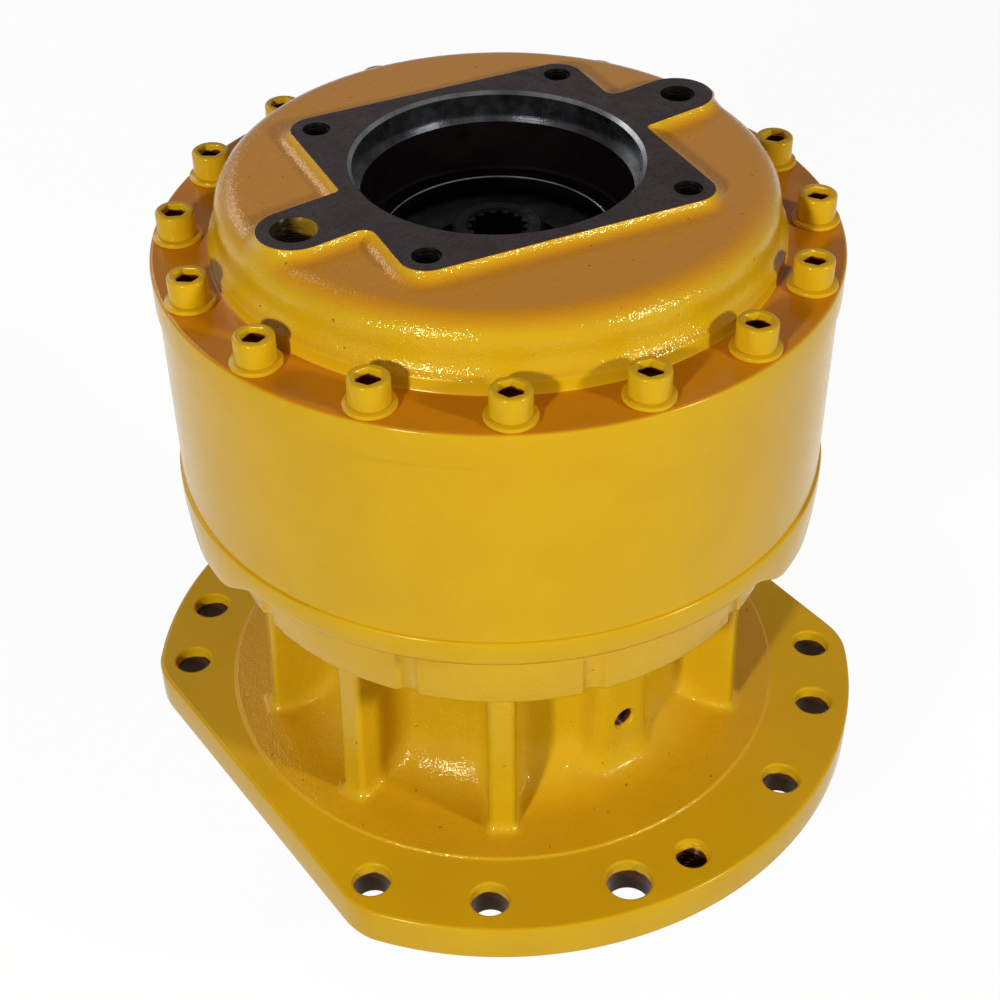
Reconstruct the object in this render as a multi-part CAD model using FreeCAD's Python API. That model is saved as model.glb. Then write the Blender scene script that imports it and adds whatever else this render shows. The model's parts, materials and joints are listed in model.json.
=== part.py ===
import FreeCAD, Part
import math
import os

# Swing gearbox: a two-stage planetary reducer that turns an excavator's upper structure.
# Row frame: the origin is the centre of the mounting face, +Z points up to the motor,
# and +X points to the flange flat under the small oil port. Lengths are in millimetres.

# Gear train: one ring gear serves both planetary stages
gear_module = 6.0
pressure_angle = 20.0
ring_teeth = 54
stage1_sun_teeth = 12
stage1_planet_count = 3
stage2_sun_teeth = 18
stage2_planet_count = 4
tooth_addendum = 1.0
tooth_dedendum = 1.25
tooth_thinning = 0.4
stage1_face_width = 29.2
stage2_face_width = 55.0
planet_pin_r_stage1 = 18.0
planet_pin_r_stage2 = 22.0
needle_radial_space = 7.0

# Clearances
running_gap = 0.3
fit_gap = 0.05
thread_gap = 0.1
clamp_hole_gap = 0.5

# How far a cutting tool passes the face it cuts, and how far joined forms reach into each other
overlap = 1.0

# Carriers and thrust washers
thrust_washer = 2.7
thrust_washer_width = 10.0
stage2_lower_plate = 30.5
stage2_upper_plate = 12.0
stage1_lower_plate = 11.0
stage1_upper_plate = 7.0
carrier_plate_gap = 2.0
carrier_rim_gap = 6.0
carrier_plate_step = 2.0
carrier_hub_wall = 25.0
carrier_web_gap = 4.0
stage2_pin_floor = 4.0
stage1_pin_floor = 2.0
stage1_upper_step = 5.0
lock_pin_r = 4.0
needle_end_gap = 1.0

# Second stage sun with its neck in the first stage carrier
sun_neck_step = 0.5
sun_bore_r = 20.0
sun_ring_width = 1.6
sun_ring_groove_depth = 2.0
sun_neck_end = 0.2
sun_thrust_disc_r = 32.0
sun_thrust_disc_hole_r = 22.0
shaft_thrust_disc_edge = 4.0

# Output pinion
pinion_module = 12.0
pinion_teeth = 13
pinion_face_width = 103.0
pinion_bottom_z = -135.0
pinion_end_chamfer = 4.0

# Shaft and its bearings
lower_seat_r = 60.0
upper_seat_r = 55.0
nut_thread_r = 52.0
shaft_spline_r = 50.0
shaft_spline_teeth = 18
spline_depth = 4.0
spline_root_share = 0.30
spline_tip_share = 0.20
shaft_collar = 6.0
shaft_relief = 3.0
ring_groove_width = 3.0
ring_groove_depth = 3.0
ring_groove_below_plate = 4.5
shaft_end_above_groove = 2.0
lower_cup_r = 107.5
lower_bearing_width = 43.0
lower_bearing_z = 14.0
lower_roller_r = 10.8
upper_cup_r = 100.0
upper_bearing_width = 41.0
upper_bearing_z = 150.0
upper_roller_r = 10.0
roller_length = 26.0
roller_count = 20
roller_angle = 14.0
roller_gap = 0.15
guide_rib = 3.5
rib_end_gap = 0.2
cage_thickness = 2.4
cage_pocket_gap = 0.5
cage_end = 3.0
lock_washer = 2.0
lock_washer_edge = 8.0
lock_nut = 12.0
lock_nut_r = 78.0
lock_nut_slots = 4
lock_nut_slot_width = 12.0
lock_nut_slot_depth = 5.0
nut_to_hub = 2.0

# Shaft seal
seal_wear_sleeve = 4.0
seal_width = 13.0
seal_section = 18.0
seal_inset = 2.0
seal_case_wall = 3.0
seal_web = 4.0
seal_lip_width = 3.0
seal_lip_end = 3.0
seal_lip_slant = 1.5
sleeve_end_gap = 4.0
seal_plate_flange = 10.0
seal_plate_edge = 10.0
seal_plate_screw_wall = 10.5
seal_plate_screw_count = 8
seal_plate_recess = 2.0
plate_screw_r = 5.0
plate_screw_grip = 15.0
plate_screw_head = 6.4
plate_screw_across_flats = 16.0
plate_screw_angle = 22.5
plate_thread_runout = 2.0

# Lower housing
flange_r = 254.0
flange_flat_x = 215.0
flange_thickness = 28.0
flange_corner_r = 7.0
flange_edge_chamfer = 1.5
flange_hole_edge = 25.0
flange_hole_r = 12.5
flange_large_hole_r = 15.0
jack_hole_r = 10.5
flange_hole_angles = (-147.8, -128.0, -69.5, -49.2, -34.2)
flange_large_hole_angle = -104.9
jack_hole_angle = -93.0
raised_step_r = 197.0
raised_step = 1.5
spigot_r = 145.0
spigot_height = 18.0
spigot_chamfer = 2.0
neck_wall = 18.5
neck_height = 134.0
neck_foot_fillet = 40.0
neck_head_fillet = 12.0
rib_count = 10
rib_foot_r = 173.0
rib_lean = 4.0
rib_width = 18.0
rib_edge_r = 4.0
rib_root_r = 9.0
rib_root_depth = 8.0
drain_block_angle = -90.0
drain_block_r = 141.0
drain_block_width = 46.0
drain_block_edge_r = 10.0
drain_z = 74.0
drain_thread_r = 7.5
drain_thread_length = 18.0
drain_bore_r = 5.5
drain_mouth_r = 8.6
band_height = 56.0
band_wall = 26.0
band_groove_r = 9.0
band_groove_depth = 3.5
cavity_side_gap = 10.0
cavity_floor = 26.0
rim_thickness = 19.5
casting_edge_r = 2.5
shaft_tunnel_r = 92.0

# Ring gear and the joint of the three housings
pilot_step = 5.0
pilot_width = 13.0
pilot_root_wall = 3.5
screw_circle_wall = 23.0
screw_edge_wall = 16.5
joint_chamfer = 1.6
ring_edge_step = 1.8
ring_edge_chamfer = 0.4
dowel_r = 5.0
dowel_length = 24.0

# Housing screws, hexagon socket head M16
screw_count = 16
screw_first_angle = 11.25
screw_r = 8.0
screw_length = 170.0
screw_hole_r = 8.75
screw_head_r = 12.0
screw_head_height = 16.0
screw_head_chamfer = 1.2
screw_socket_across_flats = 14.0
screw_socket_depth = 8.0
washer_r = 15.2
washer_thickness = 2.8

# Motor cover
cover_flange = 22.0
cover_recess_gap = 5.0
cover_recess = 7.8
cover_web = 11.0
cover_web_hole_r = 71.0
cover_cavity_r = 83.0
cover_tube_wall = 14.0
cover_washer_gap = 4.3
cover_foot_height = 8.3
cover_foot_fillet = 5.5
cover_shoulder_r = 16.0
cover_dome_height = 42.0
cover_dome_wall = 14.0
motor_face_height = 48.2
motor_pilot_r = 87.25
motor_pilot_depth = 18.5
motor_pilot_chamfer = 2.0
motor_hole_circle_r = 117.75
motor_hole_angle = 35.0
motor_hole_count = 4
motor_thread_r = 7.0
motor_thread_length = 30.0
motor_hole_mouth_r = 8.3
pad_corner_r = 16.5
pad_hollow_r = 9.0
pad_foot_fillet = 9.0
pad_foot_steps = 4
port_offset_x = 140.9
port_ear_r = 22.5
large_port_thread_r = 12.1
large_port_mouth_r = 13.5
large_port_bore_r = 9.0
small_port_thread_r = 9.3
small_port_mouth_r = 10.8
small_port_bore_r = 7.0
port_thread_length = 20.0
inner_boss_wall = 9.0
thrust_ring_r = 90.0
thrust_ring_width = 14.0
thrust_ring_gap = 0.6

# Input sun with its hub for the motor shaft
input_hub_r = 28.0
input_hub_top_above_cover = 3.0
input_spline_r = 18.6
input_spline_depth = 2.4
input_spline_teeth = 14
input_spline_floor = 4.0
input_hub_chamfer = 1.5

# Radii that follow from the gear train
stage1_planet_teeth = (ring_teeth - stage1_sun_teeth) // 2
stage2_planet_teeth = (ring_teeth - stage2_sun_teeth) // 2
ring_pitch_r = gear_module * ring_teeth / 2
ring_root_r = ring_pitch_r + tooth_dedendum * gear_module
ring_tip_r = ring_pitch_r - tooth_addendum * gear_module
stage1_centre_r = gear_module * (stage1_sun_teeth + stage1_planet_teeth) / 2
stage2_centre_r = gear_module * (stage2_sun_teeth + stage2_planet_teeth) / 2
stage1_planet_tip_r = gear_module * (stage1_planet_teeth / 2 + tooth_addendum)
stage2_planet_tip_r = gear_module * (stage2_planet_teeth / 2 + tooth_addendum)
stage1_sun_tip_r = gear_module * (stage1_sun_teeth / 2 + tooth_addendum)
stage2_sun_tip_r = gear_module * (stage2_sun_teeth / 2 + tooth_addendum)
stage2_sun_root_r = gear_module * (stage2_sun_teeth / 2 - tooth_dedendum)
carrier_r = ring_tip_r - carrier_rim_gap
pilot_r = ring_root_r + pilot_root_wall
screw_circle_r = pilot_r + screw_circle_wall
housing_r = screw_circle_r + screw_edge_wall
ring_r = housing_r - ring_edge_step
cavity_r = carrier_r + cavity_side_gap
band_r = cavity_r + band_wall
neck_r = max(lower_cup_r, upper_cup_r) + neck_wall
rib_head_r = rib_foot_r - rib_lean
seal_plate_screw_circle_r = lower_cup_r + seal_plate_screw_wall
seal_plate_r = seal_plate_screw_circle_r + seal_plate_edge
flange_hole_circle_r = flange_r - flange_hole_edge
stage1_upper_r = carrier_r - stage1_upper_step
cover_recess_r = stage1_upper_r + cover_recess_gap
cover_foot_r = screw_circle_r - washer_r - cover_washer_gap
cover_wall_r = cover_foot_r - cover_foot_fillet
collar_r = lower_seat_r + shaft_collar
sun_spline_r = stage2_sun_root_r - sun_neck_step

# Heights from the mounting face upwards
flange_top = flange_thickness
band_bottom = flange_top + neck_height
band_top = band_bottom + band_height
housing_joint = band_top + rim_thickness
cavity_bottom = band_bottom + cavity_floor
teeth_bottom = housing_joint + pilot_step
stage2_plate_top = teeth_bottom
stage2_plate_bottom = stage2_plate_top - stage2_lower_plate
stage2_planet_bottom = stage2_plate_top + thrust_washer + running_gap
stage2_planet_top = stage2_planet_bottom + stage2_face_width
stage2_upper_bottom = stage2_planet_top + running_gap + thrust_washer
stage2_upper_top = stage2_upper_bottom + stage2_upper_plate
stage1_plate_bottom = stage2_upper_top + carrier_plate_gap
stage1_plate_top = stage1_plate_bottom + stage1_lower_plate
stage1_planet_bottom = stage1_plate_top + thrust_washer + running_gap
stage1_planet_top = stage1_planet_bottom + stage1_face_width
stage1_upper_bottom = stage1_planet_top + running_gap + thrust_washer
stage1_upper_top = stage1_upper_bottom + stage1_upper_plate
teeth_top = stage1_planet_top + running_gap
cover_joint = teeth_top + pilot_step
cover_top = cover_joint + cover_flange
motor_face = cover_top + motor_face_height
recess_top = cover_joint + cover_recess
web_top = recess_top + cover_web
input_hub_top = cover_top + input_hub_top_above_cover

# Heights of the bearings and the nut on the shaft
lower_bearing_top = lower_bearing_z + lower_bearing_width
upper_bearing_top = upper_bearing_z + upper_bearing_width
nut_bottom = upper_bearing_top + lock_washer
nut_top = nut_bottom + lock_nut
hub_bottom = nut_top + nut_to_hub
seal_face = -spigot_height + seal_plate_recess
pinion_top = pinion_bottom_z + pinion_face_width
hub_top = stage2_plate_top - ring_groove_below_plate
shaft_top = hub_top + ring_groove_width + shaft_end_above_groove
lock_pin_z = stage2_plate_bottom + stage2_lower_plate / 2
sun_ring_top = stage1_plate_top + sun_ring_width
sun_stub_top = sun_ring_top + sun_neck_end


# Basic solids

def vec(x, y, z):
    return FreeCAD.Vector(x, y, z)


def polar(radius, degrees, z=0.0):
    angle = math.radians(degrees)
    return vec(radius * math.cos(angle), radius * math.sin(angle), z)


def disc(radius, bottom, top, centre=(0.0, 0.0)):
    return Part.makeCylinder(radius, top - bottom, vec(centre[0], centre[1], bottom))


def tube(outer, inner, bottom, top, centre=(0.0, 0.0)):
    return disc(outer, bottom, top, centre).cut(disc(inner, bottom - overlap, top + overlap, centre))


def turned(profile):
    """A closed profile of (radius, height) points turned a full circle about Z."""
    points = [vec(r, 0, z) for r, z in profile]
    face = Part.Face(Part.makePolygon(points + points[:1]))
    return face.revolve(vec(0, 0, 0), vec(0, 0, 1), 360)


def prism(points, bottom, top):
    """A closed outline of (x, y) points raised from bottom to top."""
    corners = [vec(x, y, bottom) for x, y in points]
    face = Part.Face(Part.makePolygon(corners + corners[:1]))
    return face.extrude(vec(0, 0, top - bottom))


def moved(shape, x, y, z=0.0):
    copy = shape.copy()
    copy.translate(vec(x, y, z))
    return copy


def turned_by(shape, degrees):
    copy = shape.copy()
    copy.rotate(vec(0, 0, 0), vec(0, 0, 1), degrees)
    return copy


def around(shape, count, first=0.0):
    """Copies of a shape, evenly spaced about Z."""
    return [turned_by(shape, first + 360.0 * k / count) for k in range(count)]


def edges_at(shape, height):
    """The edges that lie flat at a height."""
    return [e for e in shape.Edges if abs(e.BoundBox.ZMin - height) + abs(e.BoundBox.ZMax - height) < 0.001]


def save(name, solids):
    shape = solids if isinstance(solids, Part.Shape) else Part.makeCompound(solids)
    shape.exportStep("parts/" + name + ".step")
    print(name, len(shape.Solids), "solid(s)", round(shape.Volume / 1000.0, 1), "cm3")


# Gear teeth

def involute(angle):
    return math.tan(angle) - angle


def tooth_half_angle(module, teeth, radius, internal=False):
    """Half the angle that one tooth's metal spans at a radius, from the involute of its base circle."""
    pitch_r = module * teeth / 2
    base_r = pitch_r * math.cos(math.radians(pressure_angle))
    at_pitch = (math.pi * module / 2 - tooth_thinning) / 2 / pitch_r
    local = math.acos(base_r / max(radius, base_r))
    change = involute(math.radians(pressure_angle)) - involute(local)
    return at_pitch - change if internal else at_pitch + change


def tooth_outline(module, teeth, phase, radii, internal=False):
    """The outline of all the teeth: each flank is a chain of points at the given radii."""
    points = []
    for tooth in range(teeth):
        middle = math.radians(phase) + 2 * math.pi * tooth / teeth
        flank = [(r, tooth_half_angle(module, teeth, r, internal)) for r in radii]
        rising = [(r, middle - half) for r, half in flank]
        falling = [(r, middle + half) for r, half in reversed(flank)]
        points += [(r * math.cos(a), r * math.sin(a)) for r, a in rising + falling]
    return points


def external_radii(module, teeth):
    pitch_r = module * teeth / 2
    root_r = pitch_r - tooth_dedendum * module
    tip_r = pitch_r + tooth_addendum * module
    start_r = max(pitch_r * math.cos(math.radians(pressure_angle)), root_r + 0.05 * module)
    return [root_r, start_r, (start_r + tip_r) / 2, tip_r]


def external_gear(module, teeth, phase, bottom, top):
    return prism(tooth_outline(module, teeth, phase, external_radii(module, teeth)), bottom, top)


def spline_outline(outer_r, depth, teeth, growth=0.0):
    """Straight-sided splines; growth widens the whole outline for the mating hole."""
    step = 2 * math.pi / teeth
    root_r = outer_r - depth + growth
    tip_r = outer_r + growth
    widen = growth / outer_r
    corners = ((root_r, -spline_root_share), (tip_r, -spline_tip_share),
               (tip_r, spline_tip_share), (root_r, spline_root_share))
    points = []
    for tooth in range(teeth):
        middle = tooth * step
        for radius, part in corners:
            angle = middle + part * step + math.copysign(widen, part)
            points.append((radius * math.cos(angle), radius * math.sin(angle)))
    return points


def planet_angles(count, ring_tooth, planet_teeth):
    """Planets stand where the ring shows a tooth to an even planet and a space to an odd one."""
    first = 0.0 if planet_teeth % 2 == 0 else 180.0 / ring_tooth
    return [first + 360.0 * k / count for k in range(count)]


def planet_phase(angle, sun_phase, sun_teeth, planet_teeth):
    """The planet's turn that puts a space against the sun tooth on the line of centres."""
    sun_pitches = (angle - sun_phase) * sun_teeth / 360.0
    return angle + 180.0 - (0.5 - sun_pitches) * 360.0 / planet_teeth


stage1_angles = planet_angles(stage1_planet_count, ring_teeth, stage1_planet_teeth)
stage2_angles = planet_angles(stage2_planet_count, ring_teeth, stage2_planet_teeth)


# Lower housing

def flange_plate():
    """The mounting flange: a round plate with two flats, small corners and broken edges."""
    plate = disc(flange_r, 0, flange_top)
    half = flange_flat_x
    plate = plate.common(Part.makeBox(2 * half, 4 * half, flange_top, vec(-half, -2 * half, 0)))
    corners = [e for e in plate.Edges if abs(e.BoundBox.ZLength - flange_top) < 0.01]
    plate = plate.makeFillet(flange_corner_r, corners)
    return plate.makeChamfer(flange_edge_chamfer, edges_at(plate, flange_top))


def radial_rib():
    """One rib that leans in towards the band, with rounded outer corners and hollow root fillets."""
    half = rib_width / 2
    inner = neck_r - rib_root_depth
    side = [vec(inner, -half, flange_top), vec(rib_foot_r, -half, flange_top),
            vec(rib_head_r, -half, band_bottom), vec(inner, -half, band_bottom)]
    rib = Part.Face(Part.makePolygon(side + side[:1])).extrude(vec(0, rib_width, 0))
    outer = [e for e in rib.Edges
             if e.BoundBox.XMin > rib_head_r - 0.01 and e.BoundBox.ZLength > rib_width]
    rib = rib.makeFillet(rib_edge_r, outer)
    root_x = math.sqrt((neck_r + rib_root_r) ** 2 - (half + rib_root_r) ** 2)
    web = Part.makeBox(root_x - inner, rib_width + 2 * rib_root_r, band_bottom - flange_top,
                       vec(inner, -half - rib_root_r, flange_top))
    for side in (-1, 1):
        web = web.cut(disc(rib_root_r, flange_top, band_bottom, (root_x, side * (half + rib_root_r))))
    return rib.fuse(web)


def neck_body():
    """The turned neck with its foot fillet on the flange and its head fillet under the band."""
    foot = neck_foot_fillet
    head = neck_head_fillet
    low = flange_top + raised_step
    floor = Part.makePolygon([vec(0, 0, 0), vec(neck_r + foot, 0, 0), vec(neck_r + foot, 0, low)])
    sag = 1 - math.sqrt(0.5)
    foot_arc = Part.Arc(vec(neck_r + foot, 0, low), vec(neck_r + foot * sag, 0, low + foot * sag),
                        vec(neck_r, 0, low + foot))
    wall = Part.LineSegment(vec(neck_r, 0, low + foot), vec(neck_r, 0, band_bottom - head))
    head_arc = Part.Arc(vec(neck_r, 0, band_bottom - head),
                        vec(neck_r + head * sag, 0, band_bottom - head * sag),
                        vec(neck_r + head, 0, band_bottom))
    top = Part.makePolygon([vec(neck_r + head, 0, band_bottom), vec(neck_r + head, 0, band_bottom + overlap),
                            vec(0, 0, band_bottom + overlap), vec(0, 0, 0)])
    curve = [foot_arc.toShape(), wall.toShape(), head_arc.toShape()]
    wire = Part.Wire(floor.Edges + curve + top.Edges)
    return Part.Face(wire).revolve(vec(0, 0, 0), vec(0, 0, 1), 360)


def drain_block():
    """The wide rib that carries the threaded drain hole."""
    inner = neck_r - rib_root_depth
    half = drain_block_width / 2
    block = Part.makeBox(drain_block_r - inner, drain_block_width, band_bottom - flange_top,
                         vec(inner, -half, flange_top))
    outer = [e for e in block.Edges
             if e.BoundBox.XMin > drain_block_r - 0.01 and e.BoundBox.ZLength > drain_block_width]
    return turned_by(block.makeFillet(drain_block_edge_r, outer), drain_block_angle)


def flange_hole_cutters():
    def pair(radius, angle):
        hole = disc(radius, -overlap, flange_top + raised_step + overlap, (flange_hole_circle_r, 0))
        return around(hole, 2, angle)
    cutters = []
    for angle in flange_hole_angles:
        cutters += pair(flange_hole_r, angle)
    cutters += pair(flange_large_hole_r, flange_large_hole_angle)
    cutters += pair(jack_hole_r, jack_hole_angle)
    return cutters


def drain_hole_cutters():
    face = drain_block_r
    outward = vec(1, 0, 0)
    thread = Part.makeCylinder(drain_thread_r, drain_thread_length + overlap,
                               vec(face - drain_thread_length, 0, drain_z), outward)
    passage = Part.makeCylinder(drain_bore_r, face - shaft_tunnel_r + overlap,
                                vec(shaft_tunnel_r - overlap, 0, drain_z), outward)
    depth = drain_mouth_r - drain_thread_r
    mouth = Part.makeCone(drain_thread_r, drain_mouth_r + overlap, depth + overlap,
                          vec(face - depth, 0, drain_z), outward)
    return [turned_by(c, drain_block_angle) for c in (thread, passage, mouth)]


def lower_housing():
    body = flange_plate()
    body = body.fuse(disc(raised_step_r, flange_top - overlap, flange_top + raised_step))
    body = body.fuse(neck_body())
    band = disc(band_r, band_bottom, band_top + overlap)
    band = band.makeFillet(casting_edge_r, edges_at(band, band_bottom))
    groove = disc(band_groove_r, band_bottom - overlap, band_top + overlap,
                  (band_r + band_groove_r - band_groove_depth, 0))
    band = band.cut(Part.makeCompound(around(groove, rib_count)))
    body = body.fuse(band)
    rim = disc(housing_r, band_top, housing_joint)
    rim = rim.makeChamfer(joint_chamfer, edges_at(rim, housing_joint))
    rim = rim.makeFillet(casting_edge_r, edges_at(rim, band_top))
    body = body.fuse(rim)
    body = body.fuse(disc(pilot_r - fit_gap, housing_joint - overlap, teeth_bottom - running_gap))
    spigot = disc(spigot_r, -spigot_height, overlap)
    body = body.fuse(spigot.makeChamfer(spigot_chamfer, edges_at(spigot, -spigot_height)))
    rib = radial_rib()
    rib_pitch = 360.0 / rib_count
    for k in range(rib_count):
        angle = rib_pitch / 2 + k * rib_pitch
        if abs((angle - drain_block_angle + 180) % 360 - 180) > rib_pitch / 2:
            body = body.fuse(turned_by(rib, angle))
    body = body.fuse(drain_block())
    bore = turned([
        (0, -spigot_height - overlap), (seal_plate_r + running_gap, -spigot_height - overlap),
        (seal_plate_r + running_gap, seal_face + seal_plate_flange),
        (lower_cup_r, seal_face + seal_plate_flange), (lower_cup_r, lower_bearing_top),
        (shaft_tunnel_r, lower_bearing_top), (shaft_tunnel_r, upper_bearing_z),
        (upper_cup_r, upper_bearing_z), (upper_cup_r, cavity_bottom),
        (cavity_r, cavity_bottom), (cavity_r, teeth_bottom + overlap), (0, teeth_bottom + overlap),
    ])
    body = body.cut(bore)
    body = body.cut(Part.makeCompound(flange_hole_cutters()))
    body = body.cut(Part.makeCompound(drain_hole_cutters()))
    thread = disc(screw_r + thread_gap, band_top - overlap, housing_joint + overlap, (screw_circle_r, 0))
    body = body.cut(Part.makeCompound(around(thread, screw_count, screw_first_angle)))
    dowel = disc(dowel_r + fit_gap, housing_joint - dowel_length / 2, housing_joint + overlap,
                 (screw_circle_r, 0))
    body = body.cut(Part.makeCompound(around(dowel, 2)))
    plate_top = seal_face + seal_plate_flange
    plate_thread = disc(plate_screw_r + thread_gap, plate_top - overlap,
                        plate_top + plate_screw_grip + plate_thread_runout, (seal_plate_screw_circle_r, 0))
    body = body.cut(Part.makeCompound(around(plate_thread, seal_plate_screw_count, plate_screw_angle)))
    return body.removeSplitter()


# Ring gear, cover and what clamps them

def ring_gear():
    ring = disc(ring_r, housing_joint, cover_joint)
    ends = edges_at(ring, housing_joint) + edges_at(ring, cover_joint)
    ring = ring.makeChamfer(ring_edge_chamfer, ends)
    root = ring_root_r
    radii = [root, (root + ring_tip_r) / 2, ring_tip_r]
    low = housing_joint - overlap
    high = cover_joint + overlap
    ring = ring.cut(prism(tooth_outline(gear_module, ring_teeth, 0.0, radii, True), low, high))
    steps = [disc(pilot_r, low, teeth_bottom), disc(pilot_r, teeth_top, high)]
    ring = ring.cut(Part.makeCompound(steps))
    hole = disc(screw_hole_r, low, high, (screw_circle_r, 0))
    ring = ring.cut(Part.makeCompound(around(hole, screw_count, screw_first_angle)))
    dowel = disc(dowel_r + fit_gap, low, housing_joint + dowel_length / 2, (screw_circle_r, 0))
    return ring.cut(Part.makeCompound(around(dowel, 2)))


def pad_outline():
    """The outline of the black motor face: a rounded square about the bolt holes with two port ears."""
    half = motor_hole_circle_r * math.sqrt(0.5) + pad_corner_r
    square = Part.makeBox(2 * half, 2 * half, overlap, vec(-half, -half, -overlap))
    square = square.makeFillet(pad_corner_r, [e for e in square.Edges if e.BoundBox.ZLength > overlap / 2])
    square = turned_by(square, motor_hole_angle - 45.0)
    ear = Part.makeBox(2 * port_offset_x, 2 * port_ear_r, overlap, vec(-port_offset_x, -port_ear_r, -overlap))
    ends = [disc(port_ear_r, -overlap, 0, (side * port_offset_x, 0)) for side in (-1, 1)]
    slab = square.fuse([ear] + ends).removeSplitter()
    hollows = [e for e in slab.Edges
               if e.BoundBox.ZLength > overlap / 2 and abs(abs(e.BoundBox.YMin) - port_ear_r) < 0.01
               and abs(e.BoundBox.XMin) < port_offset_x - 1 and e.BoundBox.XMin * e.BoundBox.YMin > 0]
    slab = slab.makeFillet(pad_hollow_r, hollows)
    return [f for f in slab.Faces if f.BoundBox.ZMin > -overlap / 2][0]


def pad():
    """The raised pad: straight walls above a hollow foot, with the ears' feet ending at the cover's wall."""
    face = pad_outline()
    dome = cover_top + cover_dome_height
    foot = pad_foot_fillet
    rise = face.extrude(vec(0, 0, motor_face - dome))
    rise.translate(vec(0, 0, dome))
    levels = []
    end_angle = math.acos(max(1 - (motor_face - dome) / foot, 0.0))
    for step in range(pad_foot_steps + 1):
        angle = end_angle * step / pad_foot_steps
        spread = foot * (math.sin(end_angle) - math.sin(angle))
        wire = face.makeOffset2D(max(spread, 0.01)).OuterWire
        wire.translate(vec(0, 0, dome + foot * (1 - math.cos(angle))))
        levels.append(wire)
    slope = Part.makeLoft(levels, True, True)
    skirt = Part.Face(levels[0]).extrude(vec(0, 0, -cover_shoulder_r))
    body = rise.fuse([slope, skirt])
    return body.common(disc(cover_wall_r, cover_top, motor_face))


def cover_shell():
    """The turned outer form of the cover: flange, foot, wall, rounded shoulder and dome."""
    wall = cover_wall_r
    foot_top = cover_top + cover_foot_height
    dome = cover_top + cover_dome_height
    shoulder = cover_shoulder_r
    slope = math.sqrt(0.5)
    step = cover_foot_r - wall
    lower = [vec(0, 0, cover_joint), vec(housing_r - ring_edge_chamfer, 0, cover_joint),
             vec(housing_r, 0, cover_joint + ring_edge_chamfer), vec(housing_r, 0, cover_top - joint_chamfer),
             vec(housing_r - joint_chamfer, 0, cover_top), vec(cover_foot_r, 0, cover_top),
             vec(cover_foot_r, 0, foot_top)]
    foot = Part.Arc(vec(cover_foot_r, 0, foot_top),
                    vec(wall + step * (1 - slope), 0, foot_top + step * (1 - slope)),
                    vec(wall, 0, foot_top + step))
    side = Part.LineSegment(vec(wall, 0, foot_top + step), vec(wall, 0, dome - shoulder))
    round_over = Part.Arc(vec(wall, 0, dome - shoulder),
                          vec(wall - shoulder * (1 - slope), 0, dome - shoulder * (1 - slope)),
                          vec(wall - shoulder, 0, dome))
    upper = [vec(wall - shoulder, 0, dome), vec(0, 0, dome), vec(0, 0, cover_joint)]
    edges = Part.makePolygon(lower).Edges + [foot.toShape(), side.toShape(), round_over.toShape()]
    wire = Part.Wire(edges + Part.makePolygon(upper).Edges)
    return Part.Face(wire).revolve(vec(0, 0, 0), vec(0, 0, 1), 360)


def threaded_hole(thread_r, mouth_r, bore_r, depth, bottom, x, y):
    """A tapped hole from the motor face: core wall, countersunk mouth and a narrower passage below."""
    cuts = [disc(thread_r, motor_face - depth, motor_face + overlap, (x, y))]
    if bottom < motor_face - depth:
        cuts.append(disc(bore_r, bottom, motor_face, (x, y)))
    sink = mouth_r - thread_r
    cuts.append(Part.makeCone(thread_r, mouth_r + overlap, sink + overlap, vec(x, y, motor_face - sink)))
    return cuts


def motor_cover():
    body = cover_shell().fuse(pad())
    body = body.fuse(tube(pilot_r - fit_gap, cover_recess_r, teeth_top + running_gap, cover_joint + overlap))
    pocket = tube(cover_recess_r, cover_cavity_r + cover_tube_wall, recess_top - overlap,
                  cover_top + cover_dome_height - cover_dome_wall)
    bosses = [disc(large_port_thread_r + inner_boss_wall, cover_joint, motor_face, (side * port_offset_x, 0))
              for side in (-1, 1)]
    bolt_boss = disc(motor_thread_r + inner_boss_wall, cover_joint, motor_face, (motor_hole_circle_r, 0))
    bosses += around(bolt_boss, motor_hole_count, motor_hole_angle)
    pocket = pocket.cut(Part.makeCompound(bosses))
    body = body.cut(pocket)
    chamfer = motor_pilot_chamfer
    pilot_bottom = motor_face - motor_pilot_depth
    bore = turned([
        (0, cover_joint - overlap), (cover_recess_r, cover_joint - overlap), (cover_recess_r, recess_top),
        (cover_web_hole_r, recess_top), (cover_web_hole_r, web_top), (cover_cavity_r, web_top),
        (cover_cavity_r, pilot_bottom), (motor_pilot_r, pilot_bottom),
        (motor_pilot_r, motor_face - chamfer), (motor_pilot_r + chamfer + overlap, motor_face + overlap),
        (0, motor_face + overlap),
    ])
    body = body.cut(bore)
    cuts = threaded_hole(large_port_thread_r, large_port_mouth_r, large_port_bore_r, port_thread_length,
                         recess_top - overlap, -port_offset_x, 0)
    cuts += threaded_hole(small_port_thread_r, small_port_mouth_r, small_port_bore_r, port_thread_length,
                          recess_top - overlap, port_offset_x, 0)
    for k in range(motor_hole_count):
        place = polar(motor_hole_circle_r, motor_hole_angle + 360.0 * k / motor_hole_count)
        cuts += threaded_hole(motor_thread_r, motor_hole_mouth_r, motor_thread_r, motor_thread_length,
                              motor_face, place.x, place.y)
    screw = disc(screw_hole_r, cover_joint - overlap, cover_top + overlap, (screw_circle_r, 0))
    cuts += around(screw, screw_count, screw_first_angle)
    return body.cut(Part.makeCompound(cuts)).removeSplitter()


def hexagon(across_flats, bottom, top):
    corner = across_flats / math.sqrt(3.0)
    points = [(corner * math.cos(math.radians(60 * k)), corner * math.sin(math.radians(60 * k)))
              for k in range(6)]
    return prism(points, bottom, top)


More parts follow.
